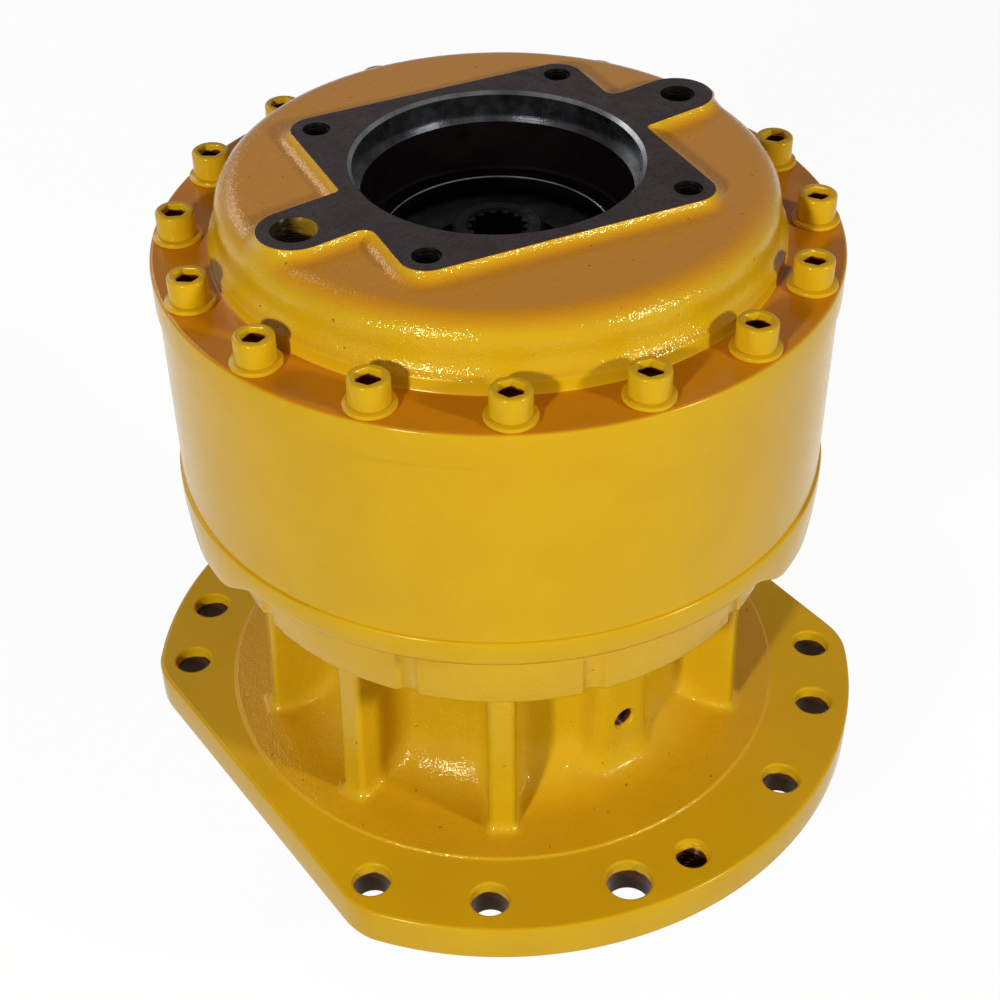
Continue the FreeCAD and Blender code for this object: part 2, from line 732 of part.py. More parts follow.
def socket_screw():
    """A hexagon socket head screw standing on its washer, on the Z axis."""
    seat = cover_top + washer_thickness
    top = seat + screw_head_height
    chamfer = screw_head_chamfer
    profile = [(0, seat - screw_length), (screw_r, seat - screw_length), (screw_r, seat),
               (screw_head_r, seat), (screw_head_r, top - chamfer), (screw_head_r - chamfer, top), (0, top)]
    return turned(profile).cut(hexagon(screw_socket_across_flats, top - screw_socket_depth, top + overlap))


def housing_screws():
    return around(moved(socket_screw(), screw_circle_r, 0), screw_count, screw_first_angle)


def screw_washers():
    washer = tube(washer_r, screw_r + thread_gap, cover_top, cover_top + washer_thickness, (screw_circle_r, 0))
    return around(washer, screw_count, screw_first_angle)


def dowel_pins():
    pin = disc(dowel_r, housing_joint - dowel_length / 2, housing_joint + dowel_length / 2,
               (screw_circle_r, 0))
    return around(pin, 2)


# Seal plate, wear sleeve and shaft seal

def seal_plate():
    top = seal_face + seal_plate_flange
    seat_r = collar_r + seal_wear_sleeve + seal_section
    body = disc(seal_plate_r, seal_face, top)
    body = body.fuse(disc(lower_cup_r - fit_gap, top - overlap, lower_bearing_z))
    body = body.cut(disc(seat_r, seal_face - overlap, lower_bearing_z + overlap))
    hole = disc(plate_screw_r + clamp_hole_gap, seal_face - overlap, top + overlap,
                (seal_plate_screw_circle_r, 0))
    return body.cut(Part.makeCompound(around(hole, seal_plate_screw_count, plate_screw_angle)))


def seal_plate_screws():
    head = hexagon(plate_screw_across_flats, seal_face - plate_screw_head, seal_face)
    shank = disc(plate_screw_r, seal_face - overlap, seal_face + seal_plate_flange + plate_screw_grip)
    screw = head.fuse(shank)
    return around(moved(screw, seal_plate_screw_circle_r, 0), seal_plate_screw_count, plate_screw_angle)


def shaft_seal():
    """A lip seal: a stiff outer case, a web on the air side and a lip that follows the wear sleeve."""
    outer = collar_r + seal_wear_sleeve + seal_section - fit_gap
    lip = collar_r + seal_wear_sleeve + fit_gap
    low = seal_face + seal_inset
    high = low + seal_width
    web_top = low + seal_web
    lip_top = high - seal_lip_end
    return turned([(outer, low), (outer, high), (outer - seal_case_wall, high),
                   (outer - seal_case_wall, web_top), (lip + seal_lip_width, web_top),
                   (lip + seal_lip_width, lip_top), (lip, lip_top - seal_inset), (lip + seal_lip_slant, low)])


def seal_wear_sleeve_ring():
    return tube(collar_r + seal_wear_sleeve, collar_r + fit_gap, seal_face, lower_bearing_z - sleeve_end_gap)


# Tapered roller bearings

class TaperedBearing:
    """Cup, cone, rollers and cage whose raceways share one apex on the shaft axis."""

    def __init__(self, bore_r, cup_r, roller_r, bottom, width, apex_up):
        self.bore_r = bore_r
        self.cup_r = cup_r
        self.bottom = bottom
        self.top = bottom + width
        self.sign = 1 if apex_up else -1
        self.middle_r = (bore_r + cup_r) / 2
        self.middle_z = bottom + width / 2
        self.slant = self.middle_r / math.sin(math.radians(roller_angle))
        self.half = math.degrees(math.atan(roller_r / self.slant))
        drop = self.middle_r / math.tan(math.radians(roller_angle))
        self.apex_z = self.middle_z + self.sign * drop

    def race(self, z, angle):
        return abs(self.apex_z - z) * math.tan(math.radians(angle))

    def cup(self):
        angle = roller_angle + self.half
        return turned([(self.cup_r, self.bottom), (self.cup_r, self.top),
                       (self.race(self.top, angle), self.top), (self.race(self.bottom, angle), self.bottom)])

    def on_axis_line(self, along, across):
        """A point (radius, height) along the roller's axis line from the apex and across it."""
        lean = math.radians(roller_angle)
        radius = along * math.sin(lean) + across * math.cos(lean)
        return radius, self.apex_z - self.sign * (along * math.cos(lean) - across * math.sin(lean))

    def cone(self):
        """The inner ring: a tapered race and a guide rib square to the rollers' large ends."""
        angle = roller_angle - self.half
        along = self.slant + roller_length / 2 + rib_end_gap
        below = -along * math.tan(math.radians(self.half))
        race_end = self.on_axis_line(along, below)
        rib_top = self.on_axis_line(along, below + guide_rib)
        back = self.bottom if self.sign > 0 else self.top
        front = self.top if self.sign > 0 else self.bottom
        return turned([(self.bore_r, back), (rib_top[0], back), rib_top, race_end,
                       (self.race(front, angle), front), (self.bore_r, front)])

    def frustum(self, extra_r, extra_length):
        """A cone stub on the line from the apex through the roller's middle."""
        low = self.slant - roller_length / 2 - extra_length
        high = self.slant + roller_length / 2 + extra_length
        spread = math.tan(math.radians(self.half))
        lean = math.radians(roller_angle)
        outward = vec(math.sin(lean), 0, -self.sign * math.cos(lean))
        start = vec(0, 0, self.apex_z) + outward * low
        return Part.makeCone(low * spread + extra_r, high * spread + extra_r, high - low, start, outward)

    def rollers(self):
        return around(self.frustum(-roller_gap, 0), roller_count)

    def cage(self):
        """A pressed cone of sheet with one window for each roller."""
        lean = math.radians(roller_angle)
        across = cage_thickness / 2 / math.cos(lean)
        reach = roller_length / 2 + cage_end
        low = self.middle_z - reach * math.cos(lean)
        high = self.middle_z + reach * math.cos(lean)
        low_r = self.race(low, roller_angle)
        high_r = self.race(high, roller_angle)
        shell = turned([(low_r - across, low), (low_r + across, low),
                        (high_r + across, high), (high_r - across, high)])
        window = self.frustum(cage_pocket_gap, cage_pocket_gap)
        return shell.cut(Part.makeCompound(around(window, roller_count)))


lower_bearing = TaperedBearing(lower_seat_r, lower_cup_r, lower_roller_r, lower_bearing_z,
                               lower_bearing_width, True)
upper_bearing = TaperedBearing(upper_seat_r, upper_cup_r, upper_roller_r, upper_bearing_z,
                               upper_bearing_width, False)


# Pinion shaft and what sits on it

def pinion():
    """The output pinion with chamfered tooth ends."""
    gear = external_gear(pinion_module, pinion_teeth, 0.0, pinion_bottom_z, pinion_top)
    tip = pinion_module * (pinion_teeth / 2 + tooth_addendum)
    chamfer = pinion_end_chamfer
    wide = tip + overlap
    low = pinion_bottom_z + chamfer + overlap
    high = pinion_top - chamfer - overlap
    limit = turned([(0, pinion_bottom_z), (tip - chamfer, pinion_bottom_z), (wide, low), (wide, high),
                    (tip - chamfer, pinion_top), (0, pinion_top)])
    return gear.common(limit)


def pinion_shaft():
    relief = shaft_relief
    start = pinion_top - overlap
    shaft = turned([
        (0, start), (collar_r, start), (collar_r, lower_bearing_z),
        (lower_seat_r, lower_bearing_z), (lower_seat_r, lower_bearing_top),
        (lower_seat_r - relief, lower_bearing_top + relief), (lower_seat_r - relief, upper_bearing_z - relief),
        (upper_seat_r, upper_bearing_z - relief), (upper_seat_r, upper_bearing_top),
        (nut_thread_r, upper_bearing_top), (nut_thread_r, nut_top), (0, nut_top),
    ])
    splines = prism(spline_outline(shaft_spline_r, spline_depth, shaft_spline_teeth),
                    nut_top - overlap, shaft_top)
    groove = tube(shaft_spline_r + overlap, shaft_spline_r - ring_groove_depth,
                  hub_top, hub_top + ring_groove_width)
    shaft = shaft.fuse(splines).cut(groove)
    return shaft.fuse(pinion())


def retaining_ring(shaft_r, depth, bottom, width):
    """An open snap ring in its groove, with the gap at +X."""
    ring = tube(shaft_r + depth, shaft_r - depth + fit_gap, bottom, bottom + width)
    gap = Part.makeBox(shaft_r + 2 * depth, 2 * depth, width + 2 * overlap, vec(0, -depth, bottom - overlap))
    return ring.cut(gap)


def lock_washer_ring():
    return tube(lock_nut_r - lock_washer_edge, nut_thread_r + fit_gap, upper_bearing_top, nut_bottom)


def lock_nut_ring():
    nut = tube(lock_nut_r, nut_thread_r + thread_gap, nut_bottom, nut_top)
    slot = Part.makeBox(lock_nut_slot_depth + overlap, lock_nut_slot_width, lock_nut + 2 * overlap,
                        vec(lock_nut_r - lock_nut_slot_depth, -lock_nut_slot_width / 2, nut_bottom - overlap))
    return nut.cut(Part.makeCompound(around(slot, lock_nut_slots)))


# Planet carriers

def webs(inner_r, outer_r, centre_r, planet_tip_r, angles, bottom, top):
    """The posts between the planets, left when a space is bored for each planet."""
    posts = tube(outer_r, inner_r, bottom, top)
    space = disc(planet_tip_r + carrier_web_gap, bottom - overlap, top + overlap, (centre_r, 0))
    return posts.cut(Part.makeCompound([turned_by(space, a) for a in angles]))


def stage2_carrier():
    plate = disc(carrier_r, stage2_plate_bottom, stage2_plate_top)
    hub = disc(shaft_spline_r + carrier_hub_wall, hub_bottom, stage2_plate_top)
    upper_r = carrier_r - carrier_plate_step
    upper = tube(upper_r, stage2_sun_tip_r + carrier_web_gap, stage2_upper_bottom, stage2_upper_top)
    posts = webs(stage2_sun_tip_r + 2 * carrier_web_gap, upper_r, stage2_centre_r, stage2_planet_tip_r,
                 stage2_angles, stage2_plate_top - overlap, stage2_upper_bottom + overlap)
    body = plate.fuse([hub, upper, posts])
    body = body.cut(prism(spline_outline(shaft_spline_r, spline_depth, shaft_spline_teeth, thread_gap),
                          hub_bottom - overlap, hub_top + overlap))
    body = body.cut(disc(shaft_spline_r + 2 * ring_groove_depth, hub_top, stage2_plate_top + overlap))
    pin_hole = disc(planet_pin_r_stage2 + fit_gap, stage2_plate_bottom + stage2_pin_floor,
                    stage2_upper_top + overlap, (stage2_centre_r, 0))
    body = body.cut(Part.makeCompound([turned_by(pin_hole, a) for a in stage2_angles]))
    return body.cut(Part.makeCompound(lock_pin_shapes(lock_pin_r + fit_gap, overlap)))


def lock_pin_shapes(radius, extra):
    start = stage2_centre_r - planet_pin_r_stage2 / 2
    pin = Part.makeCylinder(radius, carrier_r - start + extra, vec(start, 0, lock_pin_z), vec(1, 0, 0))
    return [turned_by(pin, a) for a in stage2_angles]


def stage2_planet_pins():
    pin = disc(planet_pin_r_stage2, stage2_plate_bottom + stage2_pin_floor, stage2_upper_top,
               (stage2_centre_r, 0))
    pins = [turned_by(pin, a) for a in stage2_angles]
    return [p.cut(Part.makeCompound(lock_pin_shapes(lock_pin_r + fit_gap, 0))) for p in pins]


def stage1_carrier():
    plate = disc(carrier_r - carrier_plate_step, stage1_plate_bottom, stage1_plate_top)
    hub = disc(stage2_sun_tip_r, stage2_planet_top + 2 * running_gap + thrust_washer,
               stage1_plate_bottom + overlap)
    upper = tube(stage1_upper_r, stage1_sun_tip_r + carrier_web_gap, stage1_upper_bottom, stage1_upper_top)
    posts = webs(stage1_sun_tip_r + 3 * carrier_web_gap, stage1_upper_r, stage1_centre_r, stage1_planet_tip_r,
                 stage1_angles, stage1_plate_top - overlap, stage1_upper_bottom + overlap)
    body = plate.fuse([hub, upper, posts])
    body = body.cut(prism(spline_outline(sun_spline_r, spline_depth, stage2_sun_teeth, thread_gap),
                          stage2_planet_top, stage1_plate_top + overlap))
    pin_hole = disc(planet_pin_r_stage1 + fit_gap, stage1_plate_bottom + stage1_pin_floor,
                    stage1_upper_top + overlap, (stage1_centre_r, 0))
    return body.cut(Part.makeCompound([turned_by(pin_hole, a) for a in stage1_angles]))


def stage1_planet_pins():
    pin = disc(planet_pin_r_stage1, stage1_plate_bottom + stage1_pin_floor, stage1_upper_top,
               (stage1_centre_r, 0))
    return [turned_by(pin, a) for a in stage1_angles]


def thrust_washers(pin_r, centre_r, angles, levels):
    washers = []
    for bottom in levels:
        ring = tube(pin_r + thrust_washer_width, pin_r + thread_gap, bottom, bottom + thrust_washer,
                    (centre_r, 0))
        washers += [turned_by(ring, a) for a in angles]
    return washers


# Sun gears and planets

def stage2_sun():
    """The second stage sun: teeth below, a splined neck in the first stage carrier above."""
    teeth = external_gear(gear_module, stage2_sun_teeth, 0.0, stage2_planet_bottom, stage2_planet_top)
    neck = prism(spline_outline(sun_spline_r, spline_depth, stage2_sun_teeth),
                 stage2_planet_top - overlap, sun_stub_top)
    groove = tube(sun_spline_r + overlap, sun_spline_r - sun_ring_groove_depth, stage1_plate_top, sun_ring_top)
    bore = disc(sun_bore_r, stage2_planet_bottom - overlap, sun_stub_top + overlap)
    return teeth.fuse(neck).cut(groove).cut(bore)


def stage1_sun():
    """The input sun: teeth below, and a hub with inner splines for the motor shaft above."""
    phase = stage1_angles[0]
    bottom = stage1_planet_bottom
    teeth = external_gear(gear_module, stage1_sun_teeth, phase, bottom, stage1_planet_top)
    chamfer = input_hub_chamfer
    hub = turned([(0, bottom), (input_hub_r, bottom), (input_hub_r, input_hub_top - chamfer),
                  (input_hub_r - chamfer, input_hub_top), (0, input_hub_top)])
    spline = prism(spline_outline(input_spline_r, input_spline_depth, input_spline_teeth),
                   bottom + input_spline_floor, input_hub_top + overlap)
    mouth = Part.makeCone(input_spline_r, input_spline_r + chamfer + overlap, chamfer + overlap,
                          vec(0, 0, input_hub_top - chamfer))
    return teeth.fuse(hub).cut(Part.makeCompound([spline, mouth]))


def planet(sun_phase, sun_teeth, planet_teeth, centre_r, angle, bore_r, bottom, top):
    phase = planet_phase(angle, sun_phase, sun_teeth, planet_teeth)
    gear = external_gear(gear_module, planet_teeth, phase, bottom, top)
    gear = gear.cut(disc(bore_r, bottom - overlap, top + overlap))
    place = polar(centre_r, angle)
    return moved(gear, place.x, place.y)


def needle_bearing(pin_r, centre_r, angle, bottom, top):
    ring = tube(pin_r + needle_radial_space - fit_gap, pin_r + fit_gap,
                bottom + needle_end_gap, top - needle_end_gap, (centre_r, 0))
    return turned_by(ring, angle)


# Write every piece

os.makedirs("parts", exist_ok=True)
save("lower_housing", lower_housing())
save("ring_gear", ring_gear())
save("motor_cover", motor_cover())
save("housing_screws", housing_screws())
save("screw_washers", screw_washers())
save("dowel_pins", dowel_pins())
save("seal_plate", seal_plate())
save("seal_plate_screws", seal_plate_screws())
save("shaft_seal", shaft_seal())
save("seal_wear_sleeve", seal_wear_sleeve_ring())
save("lower_bearing_cup", lower_bearing.cup())
save("upper_bearing_cup", upper_bearing.cup())
save("lower_bearing_cone", lower_bearing.cone())
save("upper_bearing_cone", upper_bearing.cone())
save("lower_rollers", lower_bearing.rollers())
save("upper_rollers", upper_bearing.rollers())
save("lower_roller_cage", lower_bearing.cage())
save("upper_roller_cage", upper_bearing.cage())
save("cover_thrust_ring", tube(thrust_ring_r, thrust_ring_r - thrust_ring_width,
                               stage1_upper_top + thrust_ring_gap, recess_top))

save("pinion_shaft", pinion_shaft())
save("bearing_lock_washer", lock_washer_ring())
save("bearing_lock_nut", lock_nut_ring())
save("carrier_retaining_ring", retaining_ring(shaft_spline_r, ring_groove_depth, hub_top, ring_groove_width))
save("shaft_thrust_disc", disc(stage2_sun_root_r - shaft_thrust_disc_edge, shaft_top,
                               stage2_planet_bottom - running_gap))
save("stage2_carrier", stage2_carrier())
save("stage2_planet_pins", stage2_planet_pins())
save("stage2_pin_lock_pins", lock_pin_shapes(lock_pin_r, 0))
save("stage2_thrust_washers", thrust_washers(planet_pin_r_stage2, stage2_centre_r, stage2_angles,
                                             (stage2_plate_top, stage2_planet_top + running_gap)))

save("stage1_carrier", stage1_carrier())
save("stage2_sun", stage2_sun())
save("sun_retaining_ring", retaining_ring(sun_spline_r, sun_ring_groove_depth, stage1_plate_top,
                                          sun_ring_width))
save("stage1_planet_pins", stage1_planet_pins())
save("stage1_thrust_washers", thrust_washers(planet_pin_r_stage1, stage1_centre_r, stage1_angles,
                                             (stage1_plate_top, stage1_planet_top + running_gap)))
save("stage1_sun", stage1_sun())
save("sun_thrust_disc", tube(sun_thrust_disc_r, sun_thrust_disc_hole_r, sun_stub_top,
                             stage1_planet_bottom - running_gap))

for number, angle in enumerate(stage2_angles, 1):
    bore_r = planet_pin_r_stage2 + needle_radial_space
    save("stage2_planet_%d" % number,
         planet(0.0, stage2_sun_teeth, stage2_planet_teeth, stage2_centre_r, angle, bore_r,
                stage2_planet_bottom, stage2_planet_top))
    save("stage2_needle_bearing_%d" % number,
         needle_bearing(planet_pin_r_stage2, stage2_centre_r, angle, stage2_planet_bottom, stage2_planet_top))

for number, angle in enumerate(stage1_angles, 1):
    bore_r = planet_pin_r_stage1 + needle_radial_space
    save("stage1_planet_%d" % number,
         planet(stage1_angles[0], stage1_sun_teeth, stage1_planet_teeth, stage1_centre_r, angle, bore_r,
                stage1_planet_bottom, stage1_planet_top))
    save("stage1_needle_bearing_%d" % number,
         needle_bearing(planet_pin_r_stage1, stage1_centre_r, angle, stage1_planet_bottom, stage1_planet_top))
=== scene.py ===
# %% [markdown]
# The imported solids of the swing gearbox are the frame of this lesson.
# Every piece made here sits exactly where its solid sits, and rides on the same body.
# Lengths are written in millimetres, as on a drawing, and become metres when a mesh is made.

# %% The frame
import json
import math
import bpy
import numpy as np
from mathutils import Matrix, Vector


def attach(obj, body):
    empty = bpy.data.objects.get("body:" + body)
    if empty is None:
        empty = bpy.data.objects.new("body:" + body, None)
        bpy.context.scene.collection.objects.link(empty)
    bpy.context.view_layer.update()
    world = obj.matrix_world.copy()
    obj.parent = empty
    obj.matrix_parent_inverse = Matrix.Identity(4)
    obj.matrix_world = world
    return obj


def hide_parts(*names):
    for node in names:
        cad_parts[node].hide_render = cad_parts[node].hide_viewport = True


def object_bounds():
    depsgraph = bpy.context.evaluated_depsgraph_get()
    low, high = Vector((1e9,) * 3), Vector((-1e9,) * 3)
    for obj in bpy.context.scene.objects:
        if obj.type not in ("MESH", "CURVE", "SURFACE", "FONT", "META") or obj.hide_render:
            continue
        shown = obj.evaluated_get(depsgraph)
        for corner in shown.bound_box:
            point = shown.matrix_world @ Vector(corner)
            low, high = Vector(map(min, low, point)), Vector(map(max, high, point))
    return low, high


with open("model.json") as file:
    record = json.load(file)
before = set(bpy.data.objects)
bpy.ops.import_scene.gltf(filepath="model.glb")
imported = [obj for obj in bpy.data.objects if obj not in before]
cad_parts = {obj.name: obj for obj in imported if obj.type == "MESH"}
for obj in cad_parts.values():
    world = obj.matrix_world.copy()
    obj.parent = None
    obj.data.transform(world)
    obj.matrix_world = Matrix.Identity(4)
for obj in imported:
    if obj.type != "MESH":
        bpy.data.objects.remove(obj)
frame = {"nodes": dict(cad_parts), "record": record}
nodes = frame["nodes"]
cad_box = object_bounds()
MM = 0.001
print("solids:", len(nodes))

# %% [markdown]
# The photograph was taken from above the front left, with a long lens.
# Its view was worked out from circles whose size is known: the cover's rim, the screw heads and the flange.
# The camera is turned about its own axis by a small angle, as a hand-held camera is.

# %% The camera
VIEW_TURN = math.radians(-35.4)
VIEW_HEIGHT = math.radians(39.06)
VIEW_DISTANCE = 1230.1
VIEW_ROLL = math.radians(-0.70)
VIEW_SHIFT_SIDEWAYS = -0.77
LOOK_AT_HEIGHT = 172.5
SENSOR_WIDTH, LENS = 36.0, 64.05


def photograph_camera():
    """The eye stands back from the point looked at, along a line given by its turn and its height."""
    side = Vector((math.cos(VIEW_TURN), math.sin(VIEW_TURN), 0))
    level = Vector((math.sin(VIEW_TURN), -math.cos(VIEW_TURN), 0))
    back = level * math.cos(VIEW_HEIGHT) + Vector((0, 0, math.sin(VIEW_HEIGHT)))
    target = side * VIEW_SHIFT_SIDEWAYS + Vector((0, 0, LOOK_AT_HEIGHT))
    data = bpy.data.cameras.new("camera")
    data.sensor_width, data.lens = SENSOR_WIDTH, LENS
    data.clip_start, data.clip_end = 0.05, 30.0
    camera = bpy.data.objects.new("camera", data)
    bpy.context.scene.collection.objects.link(camera)
    turn = (-back).to_track_quat("-Z", "Y").to_matrix().to_4x4() @ Matrix.Rotation(VIEW_ROLL, 4, "Z")
    camera.matrix_world = Matrix.Translation((target + back * VIEW_DISTANCE) * MM) @ turn
    bpy.context.scene.camera = camera
    print("camera at", [round(c, 3) for c in camera.matrix_world.translation])


photograph_camera()

# %% [markdown]
# Materials come next, because each mesh lists its own.
# A colour is written as on a paint card, in sRGB hex, and Blender wants it linear.
# One small function adds a node, sets what it needs and links its inputs.

# %% Colours and nodes
COLOURS = {"data_type": "RGBA"}
DOT = {"operation": "DOT_PRODUCT"}
UP = (0.0, 0.0, 1.0)


def linear(hex_colour):
    """sRGB to linear: c / 12.92 in a dark channel c, else ((c + 0.055) / 1.055) to the power 2.4."""
    parts = [int(hex_colour[i:i + 2], 16) / 255 for i in (1, 3, 5)]
    return tuple(c / 12.92 if c <= 0.04045 else ((c + 0.055) / 1.055) ** 2.4 for c in parts) + (1.0,)


def fill(tree, made, **values):
    """Fills inputs by name, with _ for a space, or by number, as i0. A value is set, and
    another's output is linked."""
    for key, value in values.items():
        by_number = key[0] == "i" and key[1:].isdigit()
        socket = made.inputs[int(key[1:])] if by_number else made.inputs[key.replace("_", " ")]
        if isinstance(value, bpy.types.NodeSocket):
            tree.links.new(value, socket)
        else:
            socket.default_value = value


def node(tree, kind, settings=None, out=0, **values):
    """Adds a ShaderNode of a kind, with its own settings and its inputs, and gives the output called out."""
    made = tree.nodes.new("ShaderNode" + kind)
    for key, value in (settings or {}).items():
        setattr(made, key, value)
    fill(tree, made, **values)
    return made.outputs[out]


print("half grey in linear light:", [round(c, 3) for c in linear("#808080")])

# %% [markdown]
# A pattern is a few such nodes. Its size is that of the real one in millimetres, and it lies in the object's
# own coordinates, so it stays where it is on the metal when a joint turns. Patches wander softly between two
# values or two colours. Relief tilts the surface's normal and moves no point.


# %% Patterns
def new_material(name):
    """An empty material: itself, its tree, its shader, and the place of a point in
    the object's own coordinates."""
    material = bpy.data.materials.new(name)
    material.use_nodes = True
    tree = material.node_tree
    tree.nodes.clear()
    shader = tree.nodes.new("ShaderNodeBsdfPrincipled")
    fill(tree, tree.nodes.new("ShaderNodeOutputMaterial"), Surface=shader.outputs["BSDF"])
    return material, tree, shader, node(tree, "TexCoord", out="Object")


def per_mm(size):
    """The texture scale, in cycles per metre, that draws one feature every size millimetres."""
    return 1.0 / (size * MM)


def patches(tree, where, size, low, high, detail=3.0, start=0.3, end=0.7, roughness=0.55):
    """A value that wanders from low to high in soft patches about size millimetres apart.
    It is low where the noise is under start, high where it is over end, and even between them."""
    wander = node(tree, "TexNoise", Vector=where, Scale=per_mm(size), Detail=detail, Roughness=roughness)
    return node(tree, "MapRange", Value=wander, From_Min=start, From_Max=end, To_Min=low, To_Max=high)


def two_tone(tree, where, size, first, second, detail=3.0, start=0.3, end=0.7, roughness=0.55):
    """Two colours that fade into each other in patches of a size."""
    share = patches(tree, where, size, 0.0, 1.0, detail, start, end, roughness)
    return node(tree, "Mix", COLOURS, 2, i0=share, i6=linear(first), i7=linear(second))


def relief(tree, layers):
    """The surface normal over layers of relief, each a height from 0 to 1 and how
    many millimetres tall 1 is."""
    below = {}
    for height, tall in layers:
        below = {"Normal": node(tree, "Bump", Height=height, Distance=tall * MM, Strength=1.0, **below)}
    return below["Normal"]


print("a pattern of 3 mm comes", round(per_mm(3.0)), "times in a metre")

# %% [markdown]
# The whole gearbox is sprayed with one construction-machine yellow after it is assembled. Upright faces keep
# the clean lemon ochre of the paint; faces that look up are painted browner by the surface's own upward lean,
# partly for the fine dust that settles on them and partly as painted shade, the darker, warmer look of tops
# in this light. On the castings the sand's grain shows through the film as small soft bumps, which break a
# highlight into glints. The bumps of real foundry sand are about 0.3 mm wide; they are drawn at 1.1 mm,
# because finer ones are lost here. On the turned ring and the flange's rim the film is nearly flat, with only
# the orange peel of a spray gun.

# %% Yellow enamel
ENAMEL = "#D2A813"
ENAMEL_DEEP = "#CEA312"
# The brown of faces that look up: settled dust in part, painted shade in part.
ENAMEL_DUST_AND_SHADE = "#C87F0E"
ENAMEL_GRIME = "#6E3A0C"
RESIN_TINT = "#FFE9A8"
PEEL_SIZE, PEEL_HEIGHT = 3.0, 0.012
GRAIN_SIZE, GRAIN_HEIGHT = 1.1, 0.25
ROLLING_SIZE, ROLLING_HEIGHT = 5.5 * GRAIN_SIZE, 1.3 * GRAIN_HEIGHT


def enamel_film(tree, where, dust_and_shade_most):
    """The film's colour: two close yellows in soft clouds, mixed towards a brown as the normal
    looks up; the brown is settled dust in part and painted shade in part."""
    film = two_tone(tree, where, 45, ENAMEL_DEEP, ENAMEL, start=0.35, end=0.65)
    upward = node(tree, "VectorMath", DOT, "Value", i0=node(tree, "TexCoord", out="Normal"), i1=UP)
    # Painted shade: faces that look up are mixed towards the brown, which is settled dust only in part.
    dust_and_shade = node(tree, "MapRange", Value=upward, From_Min=0.45, From_Max=0.96, To_Min=0.0,
                   To_Max=dust_and_shade_most)
    return node(tree, "Mix", COLOURS, 2, i0=dust_and_shade, i6=film, i7=linear(ENAMEL_DUST_AND_SHADE))


def yellow_enamel(name, cast, gloss, dust_and_shade_most, shine):
    """Polyurethane enamel: a glossy coloured film, over the sand's grain where the part is cast.
    The resin on top is faintly amber, so a weak reflection in it is warm and only a strong one is white."""
    material, tree, shader, where = new_material(name)
    film = enamel_film(tree, where, dust_and_shade_most)
    peel = node(tree, "TexNoise", Vector=where, Scale=per_mm(PEEL_SIZE), Detail=2.0, Roughness=0.55)
    layers = [(peel, PEEL_HEIGHT)]
    if cast:
        specks = patches(tree, where, 4.0, 0.0, 0.7, detail=1.0, start=0.775, end=0.80, roughness=0.4)
        film = node(tree, "Mix", COLOURS, 2, i0=specks, i6=film, i7=linear(ENAMEL_GRIME))
        rolling = node(tree, "TexNoise", Vector=where, Scale=per_mm(ROLLING_SIZE), Detail=2.0, Roughness=0.5)
        grain = node(tree, "TexNoise", Vector=where, Scale=per_mm(GRAIN_SIZE), Detail=0.0, Distortion=0.3)
        layers += [(rolling, ROLLING_HEIGHT), (grain, GRAIN_HEIGHT)]
    fill(tree, shader, Base_Color=film, Roughness=patches(tree, where, 14, gloss * 0.85, gloss * 1.2),
         Normal=relief(tree, layers), Specular_IOR_Level=shine, Specular_Tint=linear(RESIN_TINT), IOR=1.5)
    return material


rough_side = {"cast": True, "gloss": 0.11, "shine": 0.38}
flat_side = {"cast": False, "gloss": 0.19, "shine": 0.25}
# The copies differ in how far they brown their tops, so they are lit and shaded versions of one enamel: the
# housing's neck, the flange, the screws, the washers and the ledge get little painted shade and read lighter.
cast_enamel = yellow_enamel("yellow_enamel_on_sand_casting", dust_and_shade_most=0.85, **rough_side)
foot_enamel = yellow_enamel("yellow_enamel_on_cast_foot", dust_and_shade_most=0.30, **rough_side)
turned_enamel = yellow_enamel("yellow_enamel_on_turned_steel", dust_and_shade_most=1.0, **flat_side)
flange_enamel = yellow_enamel("yellow_enamel_on_milled_flange", dust_and_shade_most=0.12, **flat_side)
print("enamels:", [m.name for m in (cast_enamel, foot_enamel, turned_enamel, flange_enamel)])

# %% [markdown]
# The spray reaches only a little way into a hole, so the film ends there in a wavy edge.
# Below it the wall is dark: painted shade in the flange's holes and jacking threads, bare oiled or oxidised
# steel in the sockets and other threads.


# %% Enamel in holes
def hole_wall_enamel(name, outward, reach, bare, wave=3.0, lit=None):
    """Inside a hole the spray only goes down to a place, in mm along the hole; below it the wall
    takes the dark colour bare, which stands for bare metal in the sockets and the drain, and is painted shade
    in the flange's holes and partly in the port. The edge of the film is wavy, and lit may name a direction
    and two places between which the film's share grows, a painted light on the lit side."""
    material, tree, shader, where = new_material(name)
    wander = node(tree, "TexNoise", Vector=where, Scale=per_mm(7), Detail=2.0, Roughness=0.55)
    place = node(tree, "VectorMath", DOT, "Value", i0=where, i1=outward)
    wavy = node(tree, "Math", {"operation": "MULTIPLY_ADD"}, i0=wander, i1=wave * MM, i2=place)
    edge = reach + wave / 2
    film = node(tree, "MapRange", Value=wavy, From_Min=edge * MM, From_Max=(edge + 0.8) * MM)
    if lit:
        direction, start, end = lit
        # Painted light: the film's share grows across the hole towards its lit side.
        across = node(tree, "VectorMath", DOT, "Value", i0=where, i1=direction)
        lit_share = node(tree, "MapRange", Value=across, From_Min=start * MM, From_Max=end * MM, To_Min=0.01,
                     To_Max=0.45)
        film = node(tree, "Math", {"operation": "MULTIPLY"}, i0=film, i1=lit_share)
    colour = node(tree, "Mix", COLOURS, 2, i0=film, i6=linear(bare), i7=enamel_film(tree, where, 0.12))
    fill(tree, shader, Base_Color=colour, Roughness=patches(tree, where, 6, 0.22, 0.34),
         Specular_IOR_Level=0.15, Specular_Tint=linear(RESIN_TINT))
    return material


